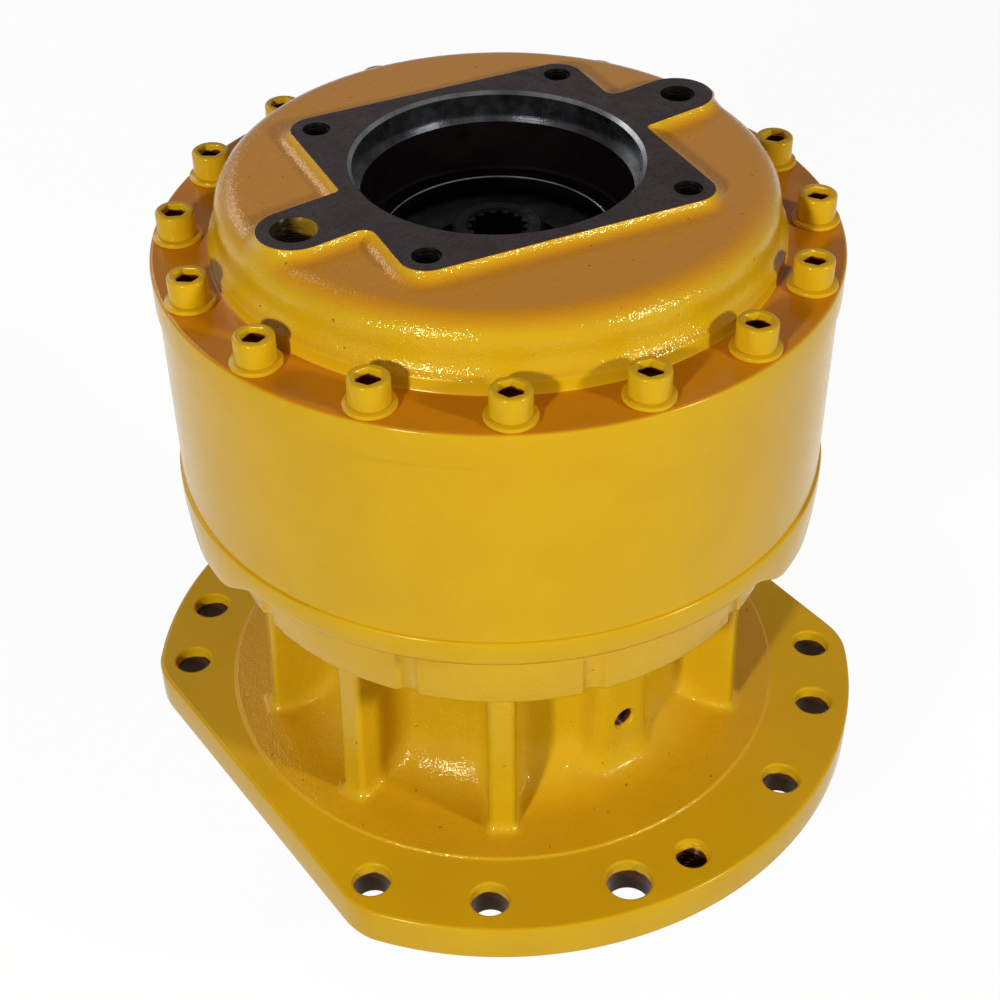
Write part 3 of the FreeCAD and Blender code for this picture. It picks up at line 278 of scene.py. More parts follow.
# In the flange's holes and jacking threads the dark below the film is painted shade.
hole_enamel_with_painted_shade = hole_wall_enamel("yellow_enamel_over_painted_shade", UP, 19.0, "#47200F")
drain_enamel = hole_wall_enamel("yellow_enamel_over_drain_thread", (0, -1, 0), 137.5, "#56200F", wave=2.0)
print("enamels in holes:", hole_enamel_with_painted_shade.name, drain_enamel.name)

# %% [markdown]
# The motor face is milled cast iron that has been masked from the paint and wiped with oil. It has gone
# nearly black, with small pores where the milling opened the casting's skin. The motor's bore is turned after
# it: a dark steel ring where the pilot sits, and below it oiled walls painted near black, which is painted
# shade for the deep bore and the holes. Iron under a full coat of oil or black oxide no longer shines as bare
# metal does, so it is not metallic here.

# %% Machined iron
PORE = "#120D0B"
MILLING_SIZE, MILLING_HEIGHT = 1.2, 0.02


def machined_iron(name, dark, light, rough, pores=0.5, lathe=0.0, metal=1.0, shine=0.5, sound=0.68):
    """Bare iron: grey clouds under oil, and pores where the noise is over what is sound.
    A turned face has rings lathe millimetres apart: sine of (radius + height) * 2 pi / lathe."""
    material, tree, shader, where = new_material(name)
    colour = two_tone(tree, where, 22, dark, light, detail=4.0, start=0.32, end=0.68, roughness=0.6)
    opened = patches(tree, where, 2.6, 0.0, pores, detail=2.0, start=sound, end=sound + 0.06, roughness=0.5)
    colour = node(tree, "Mix", COLOURS, 2, i0=opened, i6=colour, i7=linear(PORE))
    height = node(tree, "TexNoise", Vector=where, Scale=per_mm(MILLING_SIZE), Detail=2.0, Roughness=0.55)
    if lathe:
        flat = node(tree, "VectorMath", {"operation": "MULTIPLY"}, i0=where, i1=(1, 1, 0))
        radius = node(tree, "VectorMath", {"operation": "LENGTH"}, "Value", i0=flat)
        upward = node(tree, "VectorMath", DOT, "Value", i0=where, i1=UP)
        path = node(tree, "Math", {"operation": "ADD"}, i0=radius, i1=upward)
        turns = node(tree, "Math", {"operation": "MULTIPLY"}, i0=path, i1=2 * math.pi * per_mm(lathe))
        rings = node(tree, "Math", {"operation": "SINE"}, i0=turns)
        height = node(tree, "Math", {"operation": "MULTIPLY_ADD"}, i0=rings, i1=0.35, i2=height)
    gloss = patches(tree, where, 9, rough * 0.85, rough * 1.2)
    fill(tree, shader, Base_Color=colour, Metallic=metal, Specular_IOR_Level=shine, Roughness=gloss,
         Normal=relief(tree, [(height, MILLING_HEIGHT)]))
    return material


motor_face_iron = machined_iron("milled_iron_under_oil", "#261D1B", "#382D2A", rough=0.50, pores=0.8,
                                metal=0.0, shine=0.20, sound=0.57)
pilot_steel = machined_iron("turned_iron_under_oil", "#58595A", "#86888A", rough=0.28, pores=0.2, lathe=1.1)
# Near black and hardly shining: oiled iron in part, painted shade in part, in the deep bores and holes.
shaded_bore_iron = machined_iron("oiled_iron_with_painted_shade", "#060403", "#0B0807", rough=0.50, lathe=1.4, metal=0.0,
                          shine=0.05)
bare_iron = machined_iron("milled_iron_bare", "#6D6A66", "#8E8A84", rough=0.38, pores=0.35, lathe=1.6)
# Matt near-black: phosphate in part, and in part painted shade at the bottom of the bore.
phosphated_steel_and_shade = machined_iron("phosphated_steel_and_shade", "#0E0C0B", "#191615", rough=0.60, pores=0.3, metal=0.0,
                                 shine=0.15)
socket_steel = machined_iron("black_oxide_steel", "#1C0A06", "#35150B", rough=0.50, pores=0.3, metal=0.0,
                             shine=0.30)
gear_steel = machined_iron("hobbed_gear_steel", "#5B5C5E", "#7F8082", rough=0.33, pores=0.3, lathe=0.9)
ground_steel = machined_iron("ground_bearing_steel", "#9FA3A6", "#BFC3C6", rough=0.18, pores=0.1)
carrier_iron = machined_iron("cast_carrier_iron", "#38383A", "#545456", rough=0.5)
print("materials so far:", len(bpy.data.materials))

# %% [markdown]
# Thrust washers are bronze, and the shaft seal is oil-proof nitrile rubber with a talc bloom.
# Both are hidden once the gearbox is closed, but the exploded part shows them.
# Turned bronze is a warm metal with browner clouds where oil has tanned it.
# Black rubber is matt, with a faint grey bloom and a fine moulded grain.


# %% Bronze and rubber
def clouded(name, metal, clouds, gloss, grain):
    """A plain finish: clouds of two colours, gloss that wanders between two roughnesses, and a fine grain."""
    material, tree, shader, where = new_material(name)
    size, dark, light, detail, start, end = clouds
    gloss_size, low, high = gloss
    grain_size, grain_height = grain
    height = node(tree, "TexNoise", Vector=where, Scale=per_mm(grain_size), Detail=3.0, Roughness=0.55)
    colour = two_tone(tree, where, size, dark, light, detail, start, end)
    fill(tree, shader, Base_Color=colour, Metallic=metal,
         Roughness=patches(tree, where, gloss_size, low, high),
         Normal=relief(tree, [(height, grain_height)]))
    return material


bronze = clouded("bearing_bronze", metal=1.0, clouds=(16, "#8C6230", "#C39A55", 4.0, 0.3, 0.7),
                 gloss=(5, 0.24, 0.4), grain=(1.0, 0.01))
rubber = clouded("nitrile_rubber", metal=0.0, clouds=(12, "#141414", "#2A2928", 3.0, 0.35, 0.75),
                 gloss=(4, 0.55, 0.75), grain=(0.8, 0.02))
print("also:", bronze.name, rubber.name)

# %% [markdown]
# A surface here is a grid of points: rows go along a profile and columns go round the axis.
# Columns turn counter-clockwise and the profile climbs on the outside, so every face points outwards.
# The last row may join the first, which closes the skin like a tube bent into a ring.


# %% Grids
def round_angles(columns):
    """Evenly spaced angles over a full turn: 2 pi * column / columns."""
    return 2 * math.pi * np.arange(columns) / columns


def spokes(angle):
    """Unit vectors in plan, the cosine and sine of each angle."""
    return np.stack([np.cos(angle), np.sin(angle)], -1)


def row_at(plan, height):
    """One row of a grid: its points in plan, at one height or at a height for each."""
    return np.column_stack([plan, np.broadcast_to(height, len(plan))])


def grid_faces(rows, columns, loop=False):
    """Quads between neighbouring points; columns always wrap round, and rows do too when loop is true."""
    row, column = np.arange(rows if loop else rows - 1)[:, None], np.arange(columns)[None, :]
    after, beside = (row + 1) % rows, (column + 1) % columns
    corners = [row * columns + column, row * columns + beside, after * columns + beside,
               after * columns + column]
    return np.stack(corners, -1).reshape(-1, 4)


def lidded_faces(rows, columns):
    """The faces of a rod: its wall, then a lid on its first row and one on its last."""
    first = np.arange(columns)
    return grid_faces(rows, columns).tolist() + [first[::-1].tolist(),
                                                 (first + (rows - 1) * columns).tolist()]


def round_grid(profile, columns, centre=(0.0, 0.0)):
    """A profile of (radius, height) turned about an upright axis: x = r cos a, y = r sin a."""
    plan = spokes(round_angles(columns))
    return np.array([row_at(plan * r + centre, z) for r, z in profile])


print("faces of a grid of 4 rows and 12 columns:", len(grid_faces(4, 12)), "open,",
      len(grid_faces(4, 12, loop=True)), "closed")

# %% [markdown]
# A mesh takes its points and faces in one go, and each face may carry the number of one of its materials.
# Shading is smooth, but it breaks at machined edges, which turn by more than 32 degrees.

# %% Meshes
SHARP = math.radians(32)


def mesh_object(name, points, faces, materials, face_material=None):
    """A mesh object at the origin from points in millimetres and faces of equal or mixed length."""
    mesh = bpy.data.meshes.new(name)
    faces = faces.tolist() if isinstance(faces, np.ndarray) else faces
    mesh.from_pydata((np.asarray(points).reshape(-1, 3) * MM).tolist(), [], faces)
    for material in materials:
        mesh.materials.append(material)
    if face_material is not None:
        mesh.polygons.foreach_set("material_index", np.asarray(face_material, np.int32))
    mesh.validate()
    made = bpy.data.objects.new(name, mesh)
    bpy.context.scene.collection.objects.link(made)
    return made


def smooth(piece):
    """Smooth shading, broken at edges sharper than SHARP."""
    mesh = piece.data
    mesh.polygons.foreach_set("use_smooth", np.ones(len(mesh.polygons), bool))
    mesh.set_sharp_from_angle(angle=SHARP)
    return piece


print("an edge stays sharp above", round(math.degrees(SHARP)), "degrees")

# %% [markdown]
# The free surfaces of a casting are found with a distance field: negative in the metal, positive outside,
# zero on it. Two fields join with a hollow, as cast metal fills an inside corner, or meet in a round outside
# corner. A grid that lies near the surface then walks onto it.


# %% Distance fields
def settle(points, field):
    """Walks points onto the surface where the field is zero: each step is field * slope / slope squared."""
    nudge, reach, flattest = 0.02, 4.0, 0.05
    for _ in range(8):
        slope = np.stack([(field(points + nudge * axis) - field(points - nudge * axis)) / (2 * nudge)
                          for axis in np.eye(3)], -1)
        share = field(points) / np.maximum((slope ** 2).sum(-1), flattest)
        points = points - np.clip(share, -reach, reach)[..., None] * slope
    return points


def rounded_join(a, b, radius):
    """Joins two distance fields with a hollow fillet:
    max(r, min(a, b)) - length(max(r - a, 0), max(r - b, 0))."""
    return np.maximum(radius, np.minimum(a, b)) - np.hypot(np.maximum(radius - a, 0),
                                                           np.maximum(radius - b, 0))


def rounded_meet(a, b, radius):
    """What lies inside both of two distance fields, with a round corner: length of the
    overshoot, less the radius."""
    a, b = a + radius, b + radius
    return np.hypot(np.maximum(a, 0), np.maximum(b, 0)) + np.minimum(np.maximum(a, b), 0) - radius


def rounded_box(x, y, half_x, half_y, radius):
    """Distance to a rectangle with rounded corners, where its two pairs of sides meet."""
    return rounded_meet(np.abs(x) - half_x, np.abs(y) - half_y, radius)


def edge_along(ray, field, nearest, farthest):
    """How far out a plan field crosses zero along each ray: the span between two
    radii is halved forty times."""
    low, high = np.full(len(ray), nearest), np.full(len(ray), farthest)
    for _ in range(40):
        middle = (low + high) / 2
        inside = field(middle * ray[:, 0], middle * ray[:, 1]) < 0
        low, high = np.where(inside, middle, low), np.where(inside, high, middle)
    return low


reach = edge_along(spokes(round_angles(8)), lambda x, y: rounded_box(x, y, 10.0, 10.0, 3.0), 1.0, 20.0)
print("a square of 20 mm with corners of 3 reaches", round(reach.max(), 2), "mm from its middle")

# %% [markdown]
# Holes are cut by solid cutters in one Boolean, because a drill and a tap cut them in the real casting too.
# A plain cutter is a turned profile that flares at the mouth.
# A tap is a rod whose radius follows the thread: a triangle wave of height against the turn.


# %% Drills and taps
def drill(x, y, profile, columns=48):
    """A closed turned cutter at (x, y); the profile runs from the bottom of the hole to above its mouth."""
    return round_grid(profile, columns, (x, y)).reshape(-1, 3), lidded_faces(len(profile), columns)


def tap(core, depth, pitch, mouth, sink, top, columns=40):
    """A cutter with a screw thread and a countersink:
    radius = core + depth * triangle(height / pitch - turn)."""
    rows_per_turn, over = 6, 2.0

    def cutter(x, y, length):
        angle = round_angles(columns)
        z = np.linspace(top - length, top - sink, int(length / pitch * rows_per_turn))
        phase = (z[:, None] / pitch - angle / (2 * math.pi)) % 1.0
        thread = core + depth * (1 - np.abs(2 * phase - 1))
        thread[0], thread[-1] = core, core + depth
        r = np.vstack([thread, np.full((2, columns), mouth)])[..., None]
        z = np.concatenate([z, [top, top + over]])
        points = [row_at(spokes(angle) * ring + (x, y), height) for ring, height in zip(r, z)]
        return np.concatenate(points), lidded_faces(len(z), columns)
    return cutter


def carve(piece, cutters, material_number):
    """Cuts a list of closed cutters out of a piece in one step; the walls get the
    piece's material of that number."""
    points, faces, start = [], [], 0
    for cutter_points, cutter_faces in cutters:
        points.append(cutter_points)
        faces += [[v + start for v in f] for f in cutter_faces]
        start += len(cutter_points)
    tool = mesh_object(piece.name + "_tool", np.vstack(points), faces, piece.data.materials,
                       np.full(len(faces), material_number))
    modifier = piece.modifiers.new("holes", "BOOLEAN")
    modifier.operation, modifier.solver, modifier.object = "DIFFERENCE", "MANIFOLD", tool
    bpy.context.view_layer.update()
    result = bpy.data.meshes.new_from_object(piece.evaluated_get(bpy.context.evaluated_depsgraph_get()))
    piece.modifiers.clear()
    before = len(piece.data.polygons)
    piece.data = result
    bpy.data.objects.remove(tool)
    print(piece.name, "faces", before, "->", len(result.polygons))
    return piece


trial = tap(core=7.0, depth=0.95, pitch=2.0, mouth=8.6, sink=1.6, top=0.0)
print("points of a tap for M16, 30 mm deep:", len(trial(0.0, 0.0, 30.0)[0]))

# %% [markdown]
# The motor cover is one iron casting: a flat rim for the screws, a bowl with a rounded shoulder,
# and a raised pad whose top is milled for the motor.
# All heights are measured up from the mounting face of the flange, and all radii from the axis.

# %% Sizes of the motor cover
COVER_JOINT = 366.0
COVER_TOP = 388.0
RIM_R = 212.5
FOOT_R = 176.5
FOOT_TOP = COVER_TOP + 8.3
WALL_R = 171.0
FLARE_TURN = math.radians(48)
SHOULDER = 16.0
DOME = COVER_TOP + 42.0
MOTOR_FACE = COVER_TOP + 48.2
PAD_HOLLOW = 9.0
PILOT_R, PILOT_DEPTH, PILOT_CHAMFER = 87.25, 18.5, 2.0
CAVITY_R = 83.0
WEB_R, WEB_TOP, WEB_BOTTOM = 71.0, 384.8, 373.8
RECESS_R = 150.0
COVER_SPIGOT_R, COVER_SPIGOT_LOW = 172.95, 361.3
BOLT_CIRCLE_R, BOLT_TURN = 117.75, 35.0
PAD_CORNER = 16.5
PORT_X, EAR_R = 140.9, 22.5
WIDE_HOLLOW, TIGHT_HOLLOW = 9.0, 3.0
# The large port: its film grows towards +X as painted light on its lit side, and the near-black thread below
# is oiled steel in part and painted shade in part.
port_enamel = hole_wall_enamel("yellow_enamel_with_painted_light_over_shaded_thread", UP, MOTOR_FACE - 13.0, "#0D0906", wave=4.0,
                               lit=((1, 0, 0), -137.0, -126.0))
print("the motor face is", round(MOTOR_FACE, 1), "mm above the mounting face")

# %% [markdown]
# The pad's outline is a rounded square about the four bolt holes with an ear for each oil port. The pad
# stands only six millimetres above the dome and runs out in a hollow, as a foundry pattern needs, so the top
# is modelled as a distance field that joins bowl and pad with that hollow, and a grid settles onto it.


# %% Fields of the motor cover
def pad_field(x, y):
    """The pad's outline: negative inside a rounded square turned to the bolt holes, or
    inside a slot for the ears."""
    turn = math.radians(BOLT_TURN - 45)
    u, v = x * math.cos(turn) + y * math.sin(turn), y * math.cos(turn) - x * math.sin(turn)
    half = BOLT_CIRCLE_R * math.sqrt(0.5) + PAD_CORNER
    square = rounded_box(u, v, half, half, PAD_CORNER)
    ear = np.hypot(np.maximum(np.abs(x) - PORT_X, 0), y) - EAR_R
    return rounded_join(square, ear, np.where(x * y > 0, WIDE_HOLLOW, TIGHT_HOLLOW))


def bowl_field(x, y, z):
    """The bowl: distance to a turned shape with a rounded shoulder."""
    return rounded_meet(np.hypot(x, y) - WALL_R, z - DOME, SHOULDER)


PAD_LEAN = PAD_HOLLOW - math.sqrt(PAD_HOLLOW ** 2 - (PAD_HOLLOW - (MOTOR_FACE - DOME)) ** 2)


def cover_field(points):
    """Bowl and pad joined with a hollow that is taller than the pad, so it is cut off at the
    motor face: the pad's wall stands back by hollow - sqrt(hollow^2 - (hollow - height)^2) to
    put that edge on the outline."""
    x, y, z = points[..., 0], points[..., 1], points[..., 2]
    return rounded_join(bowl_field(x, y, z), pad_field(x, y) + PAD_LEAN, PAD_HOLLOW)


print("the pad's wall stands back by", round(PAD_LEAN, 2), "mm")

# %% [markdown]
# Each column of the cover's grid starts from a point of the pad's outline.
# The points are closer together where the outline bends, so its corners and ears stay round.

# %% Outline of the pad
COVER_COLUMNS, OUTLINE_RAYS, BEND_WEIGHT = 420, 7200, 0.55


def pad_outline(columns):
    """Points on the pad's outline, found by halving along rays, then spaced
    closer where the outline bends."""
    ray = spokes(round_angles(OUTLINE_RAYS))
    line = ray * edge_along(ray, pad_field, 60.0, 190.0)[:, None]
    step = np.roll(line, -1, 0) - line
    length = np.hypot(step[:, 0], step[:, 1])
    heading = np.unwrap(np.arctan2(step[:, 1], step[:, 0]))
    bend = np.abs(np.roll(heading, -1) - heading)
    bend = np.minimum(bend, 2 * math.pi - bend)
    weight = length / length.sum() + BEND_WEIGHT * bend / bend.sum()
    travelled = np.concatenate([[0], np.cumsum(weight)])
    wanted = travelled[-1] * np.arange(columns) / columns
    closed = np.vstack([line, line[:1]])
    return np.stack([np.interp(wanted, travelled, closed[:, k]) for k in (0, 1)], -1)


pad_edge = pad_outline(COVER_COLUMNS)
print("the pad reaches", round(np.hypot(pad_edge[:, 0], pad_edge[:, 1]).max(), 1), "mm from the axis")

# %% [markdown]
# Between the pad and the wall each column is a straight line in plan, so the ears get as many
# columns as they need. The rows follow the shoulder's quarter circle, gather towards the pad, and
# then all settle onto the field.

# %% Rows over the dome
DOME_ROWS, DOME_GATHER = 20, 1.8


def lines_to_circle(inner, outer, radius):
    """How far along each line from an inner to an outer point its distance from the axis is radius."""
    step = outer - inner
    a = (step ** 2).sum(-1)
    b = (inner * step).sum(-1)
    c = (inner ** 2).sum(-1) - radius ** 2
    return np.clip((-b + np.sqrt(np.maximum(b * b - a * c, 0))) / a, 0, 1)


def shoulder_height(r):
    """Height of the bowl at a radius: the dome is flat, and its shoulder falls away as a quarter circle."""
    out = np.maximum(r - WALL_R + SHOULDER, 0)
    return DOME - SHOULDER + np.sqrt(np.maximum(SHOULDER ** 2 - out ** 2, 0))


def dome_rows(edge, far):
    """Rows from the wall over the shoulder and across the dome, then up the hollow to the pad's edge."""
    inner_r = np.maximum(WALL_R - SHOULDER, np.hypot(edge[:, 0], edge[:, 1]) + 2.0)
    rows = []
    for turn in np.radians(np.linspace(90, 0, 10)):
        r = inner_r + (WALL_R - inner_r) * math.sin(turn)
        rows.append(row_at(edge + (far - edge) * lines_to_circle(edge, far, r)[:, None], shoulder_height(r)))
    line = (far - edge) * lines_to_circle(edge, far, inner_r)[:, None]
    for share in (1 - np.arange(1, DOME_ROWS + 1) / (DOME_ROWS + 1)) ** DOME_GATHER:
        plan = edge + line * share
        rows.append(row_at(plan, shoulder_height(np.hypot(plan[:, 0], plan[:, 1]))))
    rows += [row_at(edge, DOME + height) for height in (1.2, 2.8, 4.4)]
    return list(settle(np.array(rows), cover_field))


print("16 mm in from the wall the shoulder is",
      round(float(shoulder_height(WALL_R - 16) - shoulder_height(WALL_R)), 1), "mm higher")

# %% [markdown]
# The grid of the cover starts at the joint, climbs the rim, the foot and the wall, crosses the dome to the
# pad, and goes down the motor's bore and back under the rim. On the wall and the rim the columns keep only 55
# percent of their crowding at the ears.

# %% The motor cover
EDGE_SHARE = 0.55


def motor_cover(edge):
    """One closed grid round the cover: rim, foot, wall, shoulder, dome, hollow, pad, bore and underside."""
    angle = np.unwrap(np.arctan2(edge[:, 1], edge[:, 0]))
    outward = spokes(EDGE_SHARE * angle + (1 - EDGE_SHARE) * (angle[0] + round_angles(COVER_COLUMNS)))
    inward = spokes(angle)
    rows, finish = [], []

    def add(plan, height, kind):
        rows.append(row_at(plan, height))
        finish.append(kind)

    cast, turned, milled, bright, dark = range(5)
    for r, z in ((RIM_R - 0.15, COVER_JOINT), (RIM_R, COVER_JOINT + 0.15), (RIM_R, COVER_TOP - 2.0),
                 (RIM_R - 0.25, COVER_TOP - 1.0), (RIM_R - 1.0, COVER_TOP - 0.25), (RIM_R - 2.0, COVER_TOP),
                 (RIM_R - 2.7, COVER_TOP), (FOOT_R + 2.8, COVER_TOP), (FOOT_R + 2.0, COVER_TOP),
                 (FOOT_R + 0.6, COVER_TOP + 0.2), (FOOT_R + 0.1, COVER_TOP + 0.9), (FOOT_R, COVER_TOP + 2.0),
                 (FOOT_R, FOOT_TOP - 1.0), (FOOT_R, FOOT_TOP - 0.4)):
        add(outward * r, z, turned)
    flare = (FOOT_R - WALL_R) / (1 - math.cos(FLARE_TURN))
    for turn in FLARE_TURN * np.linspace(0.98, 0.0, 9):
        add(outward * (WALL_R + flare * (1 - math.cos(turn))),
            FOOT_TOP + flare * (math.sin(FLARE_TURN) - math.sin(turn)), cast)
    add(outward * WALL_R, DOME - SHOULDER - 3, cast)

    dome = dome_rows(edge, outward * WALL_R)
    rows += dome
    finish += [cast] * len(dome)

    for inset, drop in ((-0.05, 0.5), (0.12, 0.14), (0.6, 0.0), (1.1, 0.0)):
        shrink = 1 - inset / np.hypot(edge[:, 0], edge[:, 1])[:, None]
        add(edge * shrink, MOTOR_FACE - drop, cast if drop else milled)
    mouth = PILOT_R + PILOT_CHAMFER + 0.3
    for share in (0.66, 0.33):
        add(inward * mouth * (1 - share) + edge * share * 0.995, MOTOR_FACE, milled)
    for r, z, kind in ((mouth + 0.6, MOTOR_FACE, milled), (mouth, MOTOR_FACE, bright),
                       (mouth - 0.3, MOTOR_FACE - 0.2, bright), (PILOT_R, MOTOR_FACE - PILOT_CHAMFER, bright),
                       (PILOT_R, MOTOR_FACE - PILOT_DEPTH, bright),
                       (CAVITY_R, MOTOR_FACE - PILOT_DEPTH, dark),
                       (CAVITY_R, WEB_TOP + 1.5, dark), (CAVITY_R - 1.5, WEB_TOP, dark),
                       (WEB_R + 0.6, WEB_TOP, bright), (WEB_R, WEB_TOP - 0.6, dark),
                       (WEB_R, WEB_BOTTOM, dark),
                       (RECESS_R, WEB_BOTTOM, dark), (RECESS_R, COVER_SPIGOT_LOW, dark),
                       (COVER_SPIGOT_R, COVER_SPIGOT_LOW, dark), (COVER_SPIGOT_R, COVER_JOINT, dark)):
        add(inward * r, z, kind)
    return mesh_object("motor_cover_skin", np.array(rows), grid_faces(len(rows), COVER_COLUMNS, loop=True),
                       [cast_enamel, turned_enamel, motor_face_iron, pilot_steel, shaded_bore_iron, port_enamel],
                       np.repeat(finish, COVER_COLUMNS))


cover = motor_cover(pad_edge)
print("cover grid", len(cover.data.polygons), "quads")

# %% [markdown]
# Four blind holes take the motor's M16 bolts and two ports take pipe fittings.
# The larger port's thread is easy to see in the photograph, so all of them are tapped, not only drilled.

# %% Holes of the motor face
bolt_tap = tap(core=7.0, depth=0.95, pitch=2.0, mouth=8.6, sink=1.6, top=MOTOR_FACE)
large_tap = tap(core=11.9, depth=0.95, pitch=1.81, mouth=13.9, sink=2.0, top=MOTOR_FACE, columns=56)
small_tap = tap(core=9.2, depth=0.9, pitch=1.81, mouth=11.0, sink=1.8, top=MOTOR_FACE, columns=48)
bolt_places = BOLT_CIRCLE_R * spokes(np.radians(BOLT_TURN + 90 * np.arange(4)))
BOLT_THREAD, PORT_THREAD, PORT_LOW = 30.0, 20.0, 400.0


def passage(x, radius):
    """The plain hole that goes on below a port's thread, and overlaps it by a millimetre."""
    return drill(x, 0.0, [(radius, PORT_LOW), (radius, MOTOR_FACE - PORT_THREAD + 1)])


cutters = [bolt_tap(x, y, BOLT_THREAD) for x, y in bolt_places]
cutters += [small_tap(PORT_X, 0.0, PORT_THREAD), passage(PORT_X, 7.0)]
carve(cover, cutters, 4)
smooth(carve(cover, [large_tap(-PORT_X, 0.0, PORT_THREAD), passage(-PORT_X, 9.0)], 5))
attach(cover, "housing")
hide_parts("motor_cover")

# %% [markdown]
# The lower housing is the other large casting: a neck with nine ribs and one wide block for the drain,
# between the mounting flange and the band that carries the ring gear.
# It is bored in steps for the ring gear, the gears, the shaft and the seal plate.

# %% Sizes of the lower housing
FLANGE_R, FLAT_X, FLANGE_TOP, FLANGE_CORNER = 254.0, 215.0, 28.0, 7.0
STEP_R, STEP = 197.0, 1.5
SPIGOT_R, SPIGOT_LOW = 145.0, -18.0
NECK_R, NECK_FOOT, NECK_HEAD = 126.0, 40.0, 12.0
RIB_FOOT_R, RIB_HEAD_R, RIB_HALF, RIB_CORNER = 173.0, 169.0, 9.0, 4.0
RIB_ROOT, RIB_FLARE, RIB_TOP_HOLLOW = 11.0, 7.0, 5.0
BLOCK_R, BLOCK_HALF, BLOCK_CORNER = 141.0, 23.0, 10.0
BLOCK_ROOT, BLOCK_FLARE, BLOCK_TOP_HOLLOW = 12.0, 12.0, 8.0
BAND_LOW, BAND_TOP, BAND_R = 162.0, 218.0, 186.0
JOINT, RING_R = 237.5, 210.7
GROOVE_DEPTH, GROOVE_R = 3.5, 9.0
SEAT_R, SEAT_FLOOR = 172.95, 242.2
GEAR_ROOM_R, GEAR_ROOM_LOW = 160.0, 188.0
UPPER_BORE_R, UPPER_BORE_LOW = 100.0, 150.0
SHAFT_ROOM_R, SHAFT_ROOM_LOW = 92.0, 57.0
LOWER_BORE_R, PLATE_SEAT, PLATE_BORE_R = 107.5, -6.0, 128.3
BAND_FOOT, BAND_HEAD, RIM_EDGE, LUG_EDGE = 2.5, 3.0, 5.5, 3.0
LUG_TURNS, LUG_DROP, LUG_HALF, LUG_END = (175.0, 55.0, -65.0), 15.0, 3.0, 14.0
LUG_START = 180.0
SECTION_COUNTS = (9, 8, 4, 3)
FOOT_ROWS, FOOT_GATHER, CLIMB_ROWS, UNDER_ROWS = 14, 1.35, 38, 7
RIBS, BLOCK_ANGLE = 10, -math.pi / 2
PITCH = 2 * math.pi / RIBS
rib_angles = PITCH / 2 + PITCH * np.arange(RIBS)
print("one rib every", round(math.degrees(PITCH)), "degrees")

# %% [markdown]
# Every inside corner is hollow and every outside corner is round, so the housing too is a distance field and
# a grid. The field repeats from rib to rib, except in the bay of the drain block.


# %% Field of the lower housing
def angle_between(angle, other):
    """The smaller way round from one angle to another, in radians."""
    return np.abs((angle - other + math.pi) % (2 * math.pi) - math.pi)


def rib_radius(z):
    """A rib's outer face leans in as it climbs, from its foot on the flange to its head under the band."""
    share = np.clip((z - FLANGE_TOP) / (BAND_LOW - FLANGE_TOP), 0, 1)
    return RIB_FOOT_R + (RIB_HEAD_R - RIB_FOOT_R) * share


def housing_field(points):
    """Neck, ribs, block, flange top and band, joined with hollows of their own radius. The hollow between
    neck and rib shrinks to nothing at floor and ceiling, which both of them already meet."""
    x, y, z = points[..., 0], points[..., 1], points[..., 2]
    r, angle = np.hypot(x, y), np.arctan2(y, x)
    floor = z - (FLANGE_TOP + STEP)
    ceiling = BAND_LOW - z
    off = angle % PITCH - PITCH / 2
    outer = rib_radius(z)
    rib = rounded_box(r * np.cos(off) - outer / 2, r * np.sin(off), outer / 2, RIB_HALF, RIB_CORNER)
    block = rounded_box(-y - BLOCK_R / 2, x, BLOCK_R / 2, BLOCK_HALF, BLOCK_CORNER)
    neck = rounded_join(rounded_join(r - NECK_R, floor, NECK_FOOT), ceiling, NECK_HEAD)
    rib = rounded_join(rounded_join(rib, floor, RIB_FLARE), ceiling, RIB_TOP_HOLLOW)
    block = rounded_join(rounded_join(block, floor, BLOCK_FLARE), ceiling, BLOCK_TOP_HOLLOW)
    room = np.maximum(np.minimum(floor, ceiling), 0.01)
    at_block = angle_between(angle, BLOCK_ANGLE) < PITCH / 2
    return np.where(at_block, rounded_join(neck, block, np.minimum(room, BLOCK_ROOT)),
                    rounded_join(neck, rib, np.minimum(room, RIB_ROOT)))


mid_bay = np.array([NECK_R, 0.0, (FLANGE_TOP + BAND_LOW) / 2])
print("half-way up a bay the field on the neck is", abs(round(float(housing_field(mid_bay)), 3)))

# %% [markdown]
# The grid's columns follow one rib after another, with more of them at the rib's corners.


# %% Sections of the neck
def half_section(tip, half, corner):
    """Half a rib in its own frame, from mid-bay to the rib's middle: neck arc, side, corner and tip."""
    arc, side, bend, face = (np.arange(count) / count for count in SECTION_COUNTS)
    turn = PITCH / 2 + (math.asin(half / NECK_R) - PITCH / 2) * arc
    start = math.sqrt(NECK_R ** 2 - half ** 2)
    bend = math.pi / 2 * bend
    return np.concatenate([
        NECK_R * spokes(turn),
        np.column_stack([start + (tip - corner - start) * side, np.full(len(side), half)]),
        np.column_stack([tip - corner + corner * np.sin(bend), half - corner + corner * np.cos(bend)]),
        np.column_stack([np.full(len(face), tip), (half - corner) * (1 - face)])])


def section(z):
    """The whole outline at one height, bay after bay; the half after a rib mirrors the half before it."""
    plain = half_section(float(rib_radius(z)), RIB_HALF, RIB_CORNER)
    wide = half_section(BLOCK_R, BLOCK_HALF, BLOCK_CORNER)
    parts = []
    for turn in rib_angles:
        half = wide if angle_between(turn, BLOCK_ANGLE) < PITCH / 2 else plain
        tip = [[half[-1][0], 0.0]]
        out, across = np.vstack([half * (1, -1), tip, half[:0:-1]]).T
        parts.append(np.stack([out * math.cos(turn) - across * math.sin(turn),
                               out * math.sin(turn) + across * math.cos(turn)], -1))
    return np.vstack(parts)


print("columns round the ribs:", len(section(FLANGE_TOP + STEP)))

